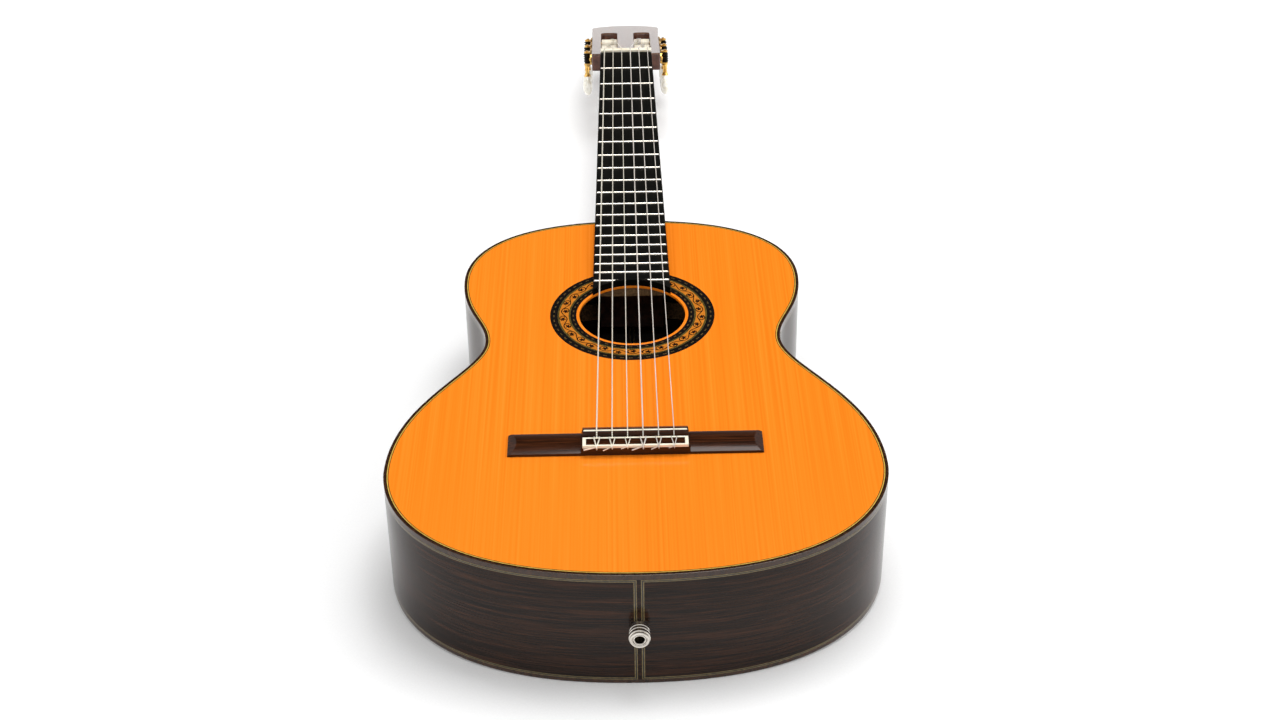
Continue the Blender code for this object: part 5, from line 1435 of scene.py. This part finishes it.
def rounded(points, radius, steps=4):
    """The same route with each corner eased by a short curve."""
    points = [Vector(point) for point in points]
    route = [points[0]]
    for before, corner, after in zip(points, points[1:], points[2:]):
        into, out = before - corner, after - corner
        start = corner + into.normalized() * min(radius, into.length * 0.45)
        stop = corner + out.normalized() * min(radius, out.length * 0.45)
        for i in range(steps + 1):
            share = i / steps
            route.append(start.lerp(corner, share).lerp(corner.lerp(stop, share), share))
    return route + [points[-1]]


def make_string(number):
    """A string from its tied tail on the block, over saddle and nut, to its roller."""
    r = STRING_RADII[number - 1]
    side = -1 if number > 3 else 1
    order = 6 - number if number > 3 else number - 1
    x, nut_x = string_x(number, SADDLE_SPREAD), string_x(number, NUT_SPREAD)
    front, back = BRIDGE_FRONT_Y - BLOCK_FRONT, BRIDGE_FRONT_Y - BRIDGE_DEPTH
    over, hole = TOP + BLOCK_TOP + r, TOP + HOLE_HEIGHT
    out = 1.7 * MM + r
    tail, drop = TAILS[number - 1]
    route = [
        (x - tail, back - 1.5 * MM, over - drop),
        (x - 0.5 * tail, back - 0.9 * MM - r, over - 0.3 * drop - 1.1 * MM),
        (x - 0.2 * MM, back - r - 0.6 * MM, over - 0.9 * MM),
        (x + 0.35 * out, back + 1.5 * MM, over),
        (x + out, front - 1.5 * MM, over + 0.1 * MM),
        (x + 0.9 * out, front + r + 0.5 * MM, over - 1.2 * MM),
        (x, front + 1.1 * MM + 2 * r, hole + 0.2 * MM),
        (x - 0.9 * out, front + r + 0.5 * MM, over - 1.2 * MM),
        (x - out, front - 1.5 * MM, over + 0.1 * MM),
        (x - 0.3 * out, back + 0.6 * MM, over + 0.1 * MM),
        (x, back - 2.4 * r - 0.6 * MM, over - 1.5 * MM),
        (x, back - 2.2 * r - 0.4 * MM, hole + 1.0 * MM),
        (x, back + 1.0 * MM, hole),
        (x, front - 0.5 * MM, hole),
        (x, SADDLE_Y - 0.9 * MM, STRING_AT_SADDLE + 0.6 * r),
    ]
    tie = rounded(route, 1.4 * MM)
    start = Vector((x, SADDLE_Y + 0.9 * MM, STRING_AT_SADDLE + r))
    at_nut = Vector((nut_x, NUT_Y + 0.3 * MM, STRING_AT_NUT + r))
    middle = [start.lerp(at_nut, i / 6) for i in range(7)]
    coil = ROLLER_RADIUS + r
    post = head_spot(f"string_post_{number}_turn")
    turn = math.radians(95)
    contact = (side * POST_CONTACTS[order], post.y + coil * math.cos(turn), post.z + coil * math.sin(turn))
    past_nut = Vector((nut_x, NUT_Y + NUT_THICKNESS - 0.6 * MM, STRING_AT_NUT + r - 0.1 * MM))
    made = tube(tie + middle + [past_nut, HEAD @ Vector(contact)], r, 3)
    material, slot = (WINDING, "wound_string") if number > 3 else (NYLON, "plain_string")
    finish(made, f"played_string_{number}", material, stands_for=[f"string_{number}"], smooth=60)


def make_jack():
    """The end jack: a ringed nickel cap with its socket, through the end graft."""
    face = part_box("jack_cap")[0].y
    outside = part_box("jack_cap")[1].x
    length = TAIL_Y - face
    inner, groove = 4.9 * MM, outside - 0.75 * MM
    profile = [(0.0, inner), (0.0, outside - 0.9 * MM)]
    # Four ridges: where each starts and stops along the cap, and how far it stands out.
    ridges = ((0.02, 0.17, -0.5), (0.23, 0.38, -0.35), (0.44, 0.60, -0.2), (0.66, 0.86, 0.0))
    for start, stop, reach in ridges:
        edge = outside + reach * MM
        profile += [(start * length, groove), ((start + 0.03) * length, edge), ((stop - 0.03) * length, edge)]
        profile += [(stop * length, groove)]
    profile += [(0.88 * length, outside - 0.6 * MM), (length - 0.3 * MM, outside - 0.6 * MM)]
    profile += [(length, outside - 0.9 * MM), (length, 5.7 * MM), (length - 0.4 * MM, 5.3 * MM)]
    profile += [(length - 0.4 * MM, inner)]
    cap = turned(profile, (0, TAIL_Y, JACK_Z), (0, -1, 0), 64)
    finish(cap, "nickel_cap", NICKEL, stands_for=["jack_cap"])
    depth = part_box("jack_barrel")[1].y - face
    bore, rim = 3.5 * MM, 4.6 * MM
    mouth, bottom = length - 0.3 * MM, length - depth
    barrel = [(mouth, bore + 0.35 * MM), (mouth, rim - 0.2 * MM), (mouth - 0.2 * MM, rim), (bottom, rim)]
    barrel += [(bottom, 0), (bottom + 2 * MM, 0), (bottom + 2 * MM, bore), (mouth - 0.35 * MM, bore)]
    socket = turned(barrel, (0, TAIL_Y, JACK_Z), (0, -1, 0), 48)
    finish(socket, "nickel_socket", NICKEL, stands_for=["jack_barrel"])


# ---------------------------------------------------------------- kept nodes, stage, camera

KEPT = (
    (INNER_CEDAR, "lining_top_bass lining_top_treble lining_back_bass lining_back_treble"),
    (INNER_CEDAR, "fan_bracing upper_harmonic_bar lower_harmonic_bar back_center_strip tail_block"),
    (INNER_CEDAR, "back_brace_upper back_brace_middle back_brace_lower"),
    (NICKEL, "jack_nut"),
    (BRAID, "saddle_pickup"),
)


def give_kept_nodes_materials():
    """The inner pieces keep the CAD's shape and get their real finish."""
    for material, names in KEPT:
        for name in names.split():
            mesh = frame["nodes"][name].data
            mesh.materials.clear()
            mesh.materials.append(material)


SOFTBOXES = (
    ("overhead_softbox", (0.25, 0.25, 2.3), 1.2, 31),
    ("left_softbox", (-1.9, -0.2, 1.1), 1.2, 5),
    ("right_softbox", (1.9, -0.2, 1.1), 1.2, 13),
)
AIR_LIGHT = 0.75
FLAG_LIGHT = 0.02
FLAG_RISE = math.radians(40)


def make_stage():
    """A paper floor, the studio's air and three softboxes aimed at the bridge."""
    plane = bpy.ops.mesh.primitive_plane_add
    floor = only(added(plane, size=14, location=(0, 3, -0.0002)))
    bpy.ops.object.transform_apply(location=True, rotation=True, scale=True)
    floor.name = "studio_floor"
    floor.data.materials.append(pale_floor())
    make_air()
    for name, spot, size, power in SOFTBOXES:
        bpy.ops.object.light_add(type="AREA", location=spot)
        light = bpy.context.object
        light.name = name
        light.data.size = size
        light.data.energy = power
        aim = Vector((0, -0.1, 0.05)) - Vector(spot)
        light.rotation_euler = aim.to_track_quat("-Z", "Y").to_euler()


def make_air():
    """White studio walls with one dark flag, high behind the head, so that the lacquer keeps
    its colour instead of mirroring a wall."""
    world = bpy.data.worlds.new("studio_air")
    world.use_nodes = True
    tree = world.node_tree
    sockets = tree.nodes["Background"].inputs
    sockets["Color"].default_value = srgb("#FFFFFF")
    aim = (0, math.cos(FLAG_RISE), math.sin(FLAG_RISE))
    look = add(tree, "ShaderNodeTexCoord", out="Generated")
    near = add(tree, "ShaderNodeVectorMath", {0: look, 1: aim}, out="Value", operation="DOT_PRODUCT")
    fade = {"Value": near, "From Min": 0.80, "From Max": 0.93, "To Min": AIR_LIGHT, "To Max": FLAG_LIGHT}
    add(tree, SPAN, fade, to=sockets["Strength"], interpolation_type="SMOOTHSTEP")
    bpy.context.scene.world = world


def make_camera():
    """The camera stands behind the tail, looks down along the strings and is a little rolled."""
    azimuth, fall, roll = math.radians(0.53), math.radians(34.17), math.radians(-0.725)
    spot = Vector((-0.0071, NUT_Y - 1.8685, TOP + 0.9006))
    ahead = Vector(
        (math.sin(azimuth) * math.cos(fall), math.cos(azimuth) * math.cos(fall), -math.sin(fall))
    )
    right = Vector((math.cos(azimuth), -math.sin(azimuth), 0))
    above = right.cross(ahead)
    across = math.cos(roll) * right + math.sin(roll) * above
    upward = -math.sin(roll) * right + math.cos(roll) * above
    turn = Matrix((across, upward, -ahead)).transposed().to_4x4()
    data = bpy.data.cameras.new("studio_camera")
    data.sensor_width = 36.0
    data.lens = 57.42
    camera = bpy.data.objects.new("studio_camera", data)
    bpy.context.scene.collection.objects.link(camera)
    camera.matrix_world = Matrix.Translation(spot) @ turn
    bpy.context.scene.camera = camera


bpy.context.scene.view_settings.view_transform = "Standard"
make_camera()
make_stage()
make_top()
make_sides()
make_back()
make_neck()
make_fingerboard()
make_nut()
make_head()
make_plate("bass", -1)
make_plate("treble", 1)
make_tuners()
make_bridge()
for number in range(1, 7):
    make_string(number)
make_jack()
give_kept_nodes_materials()
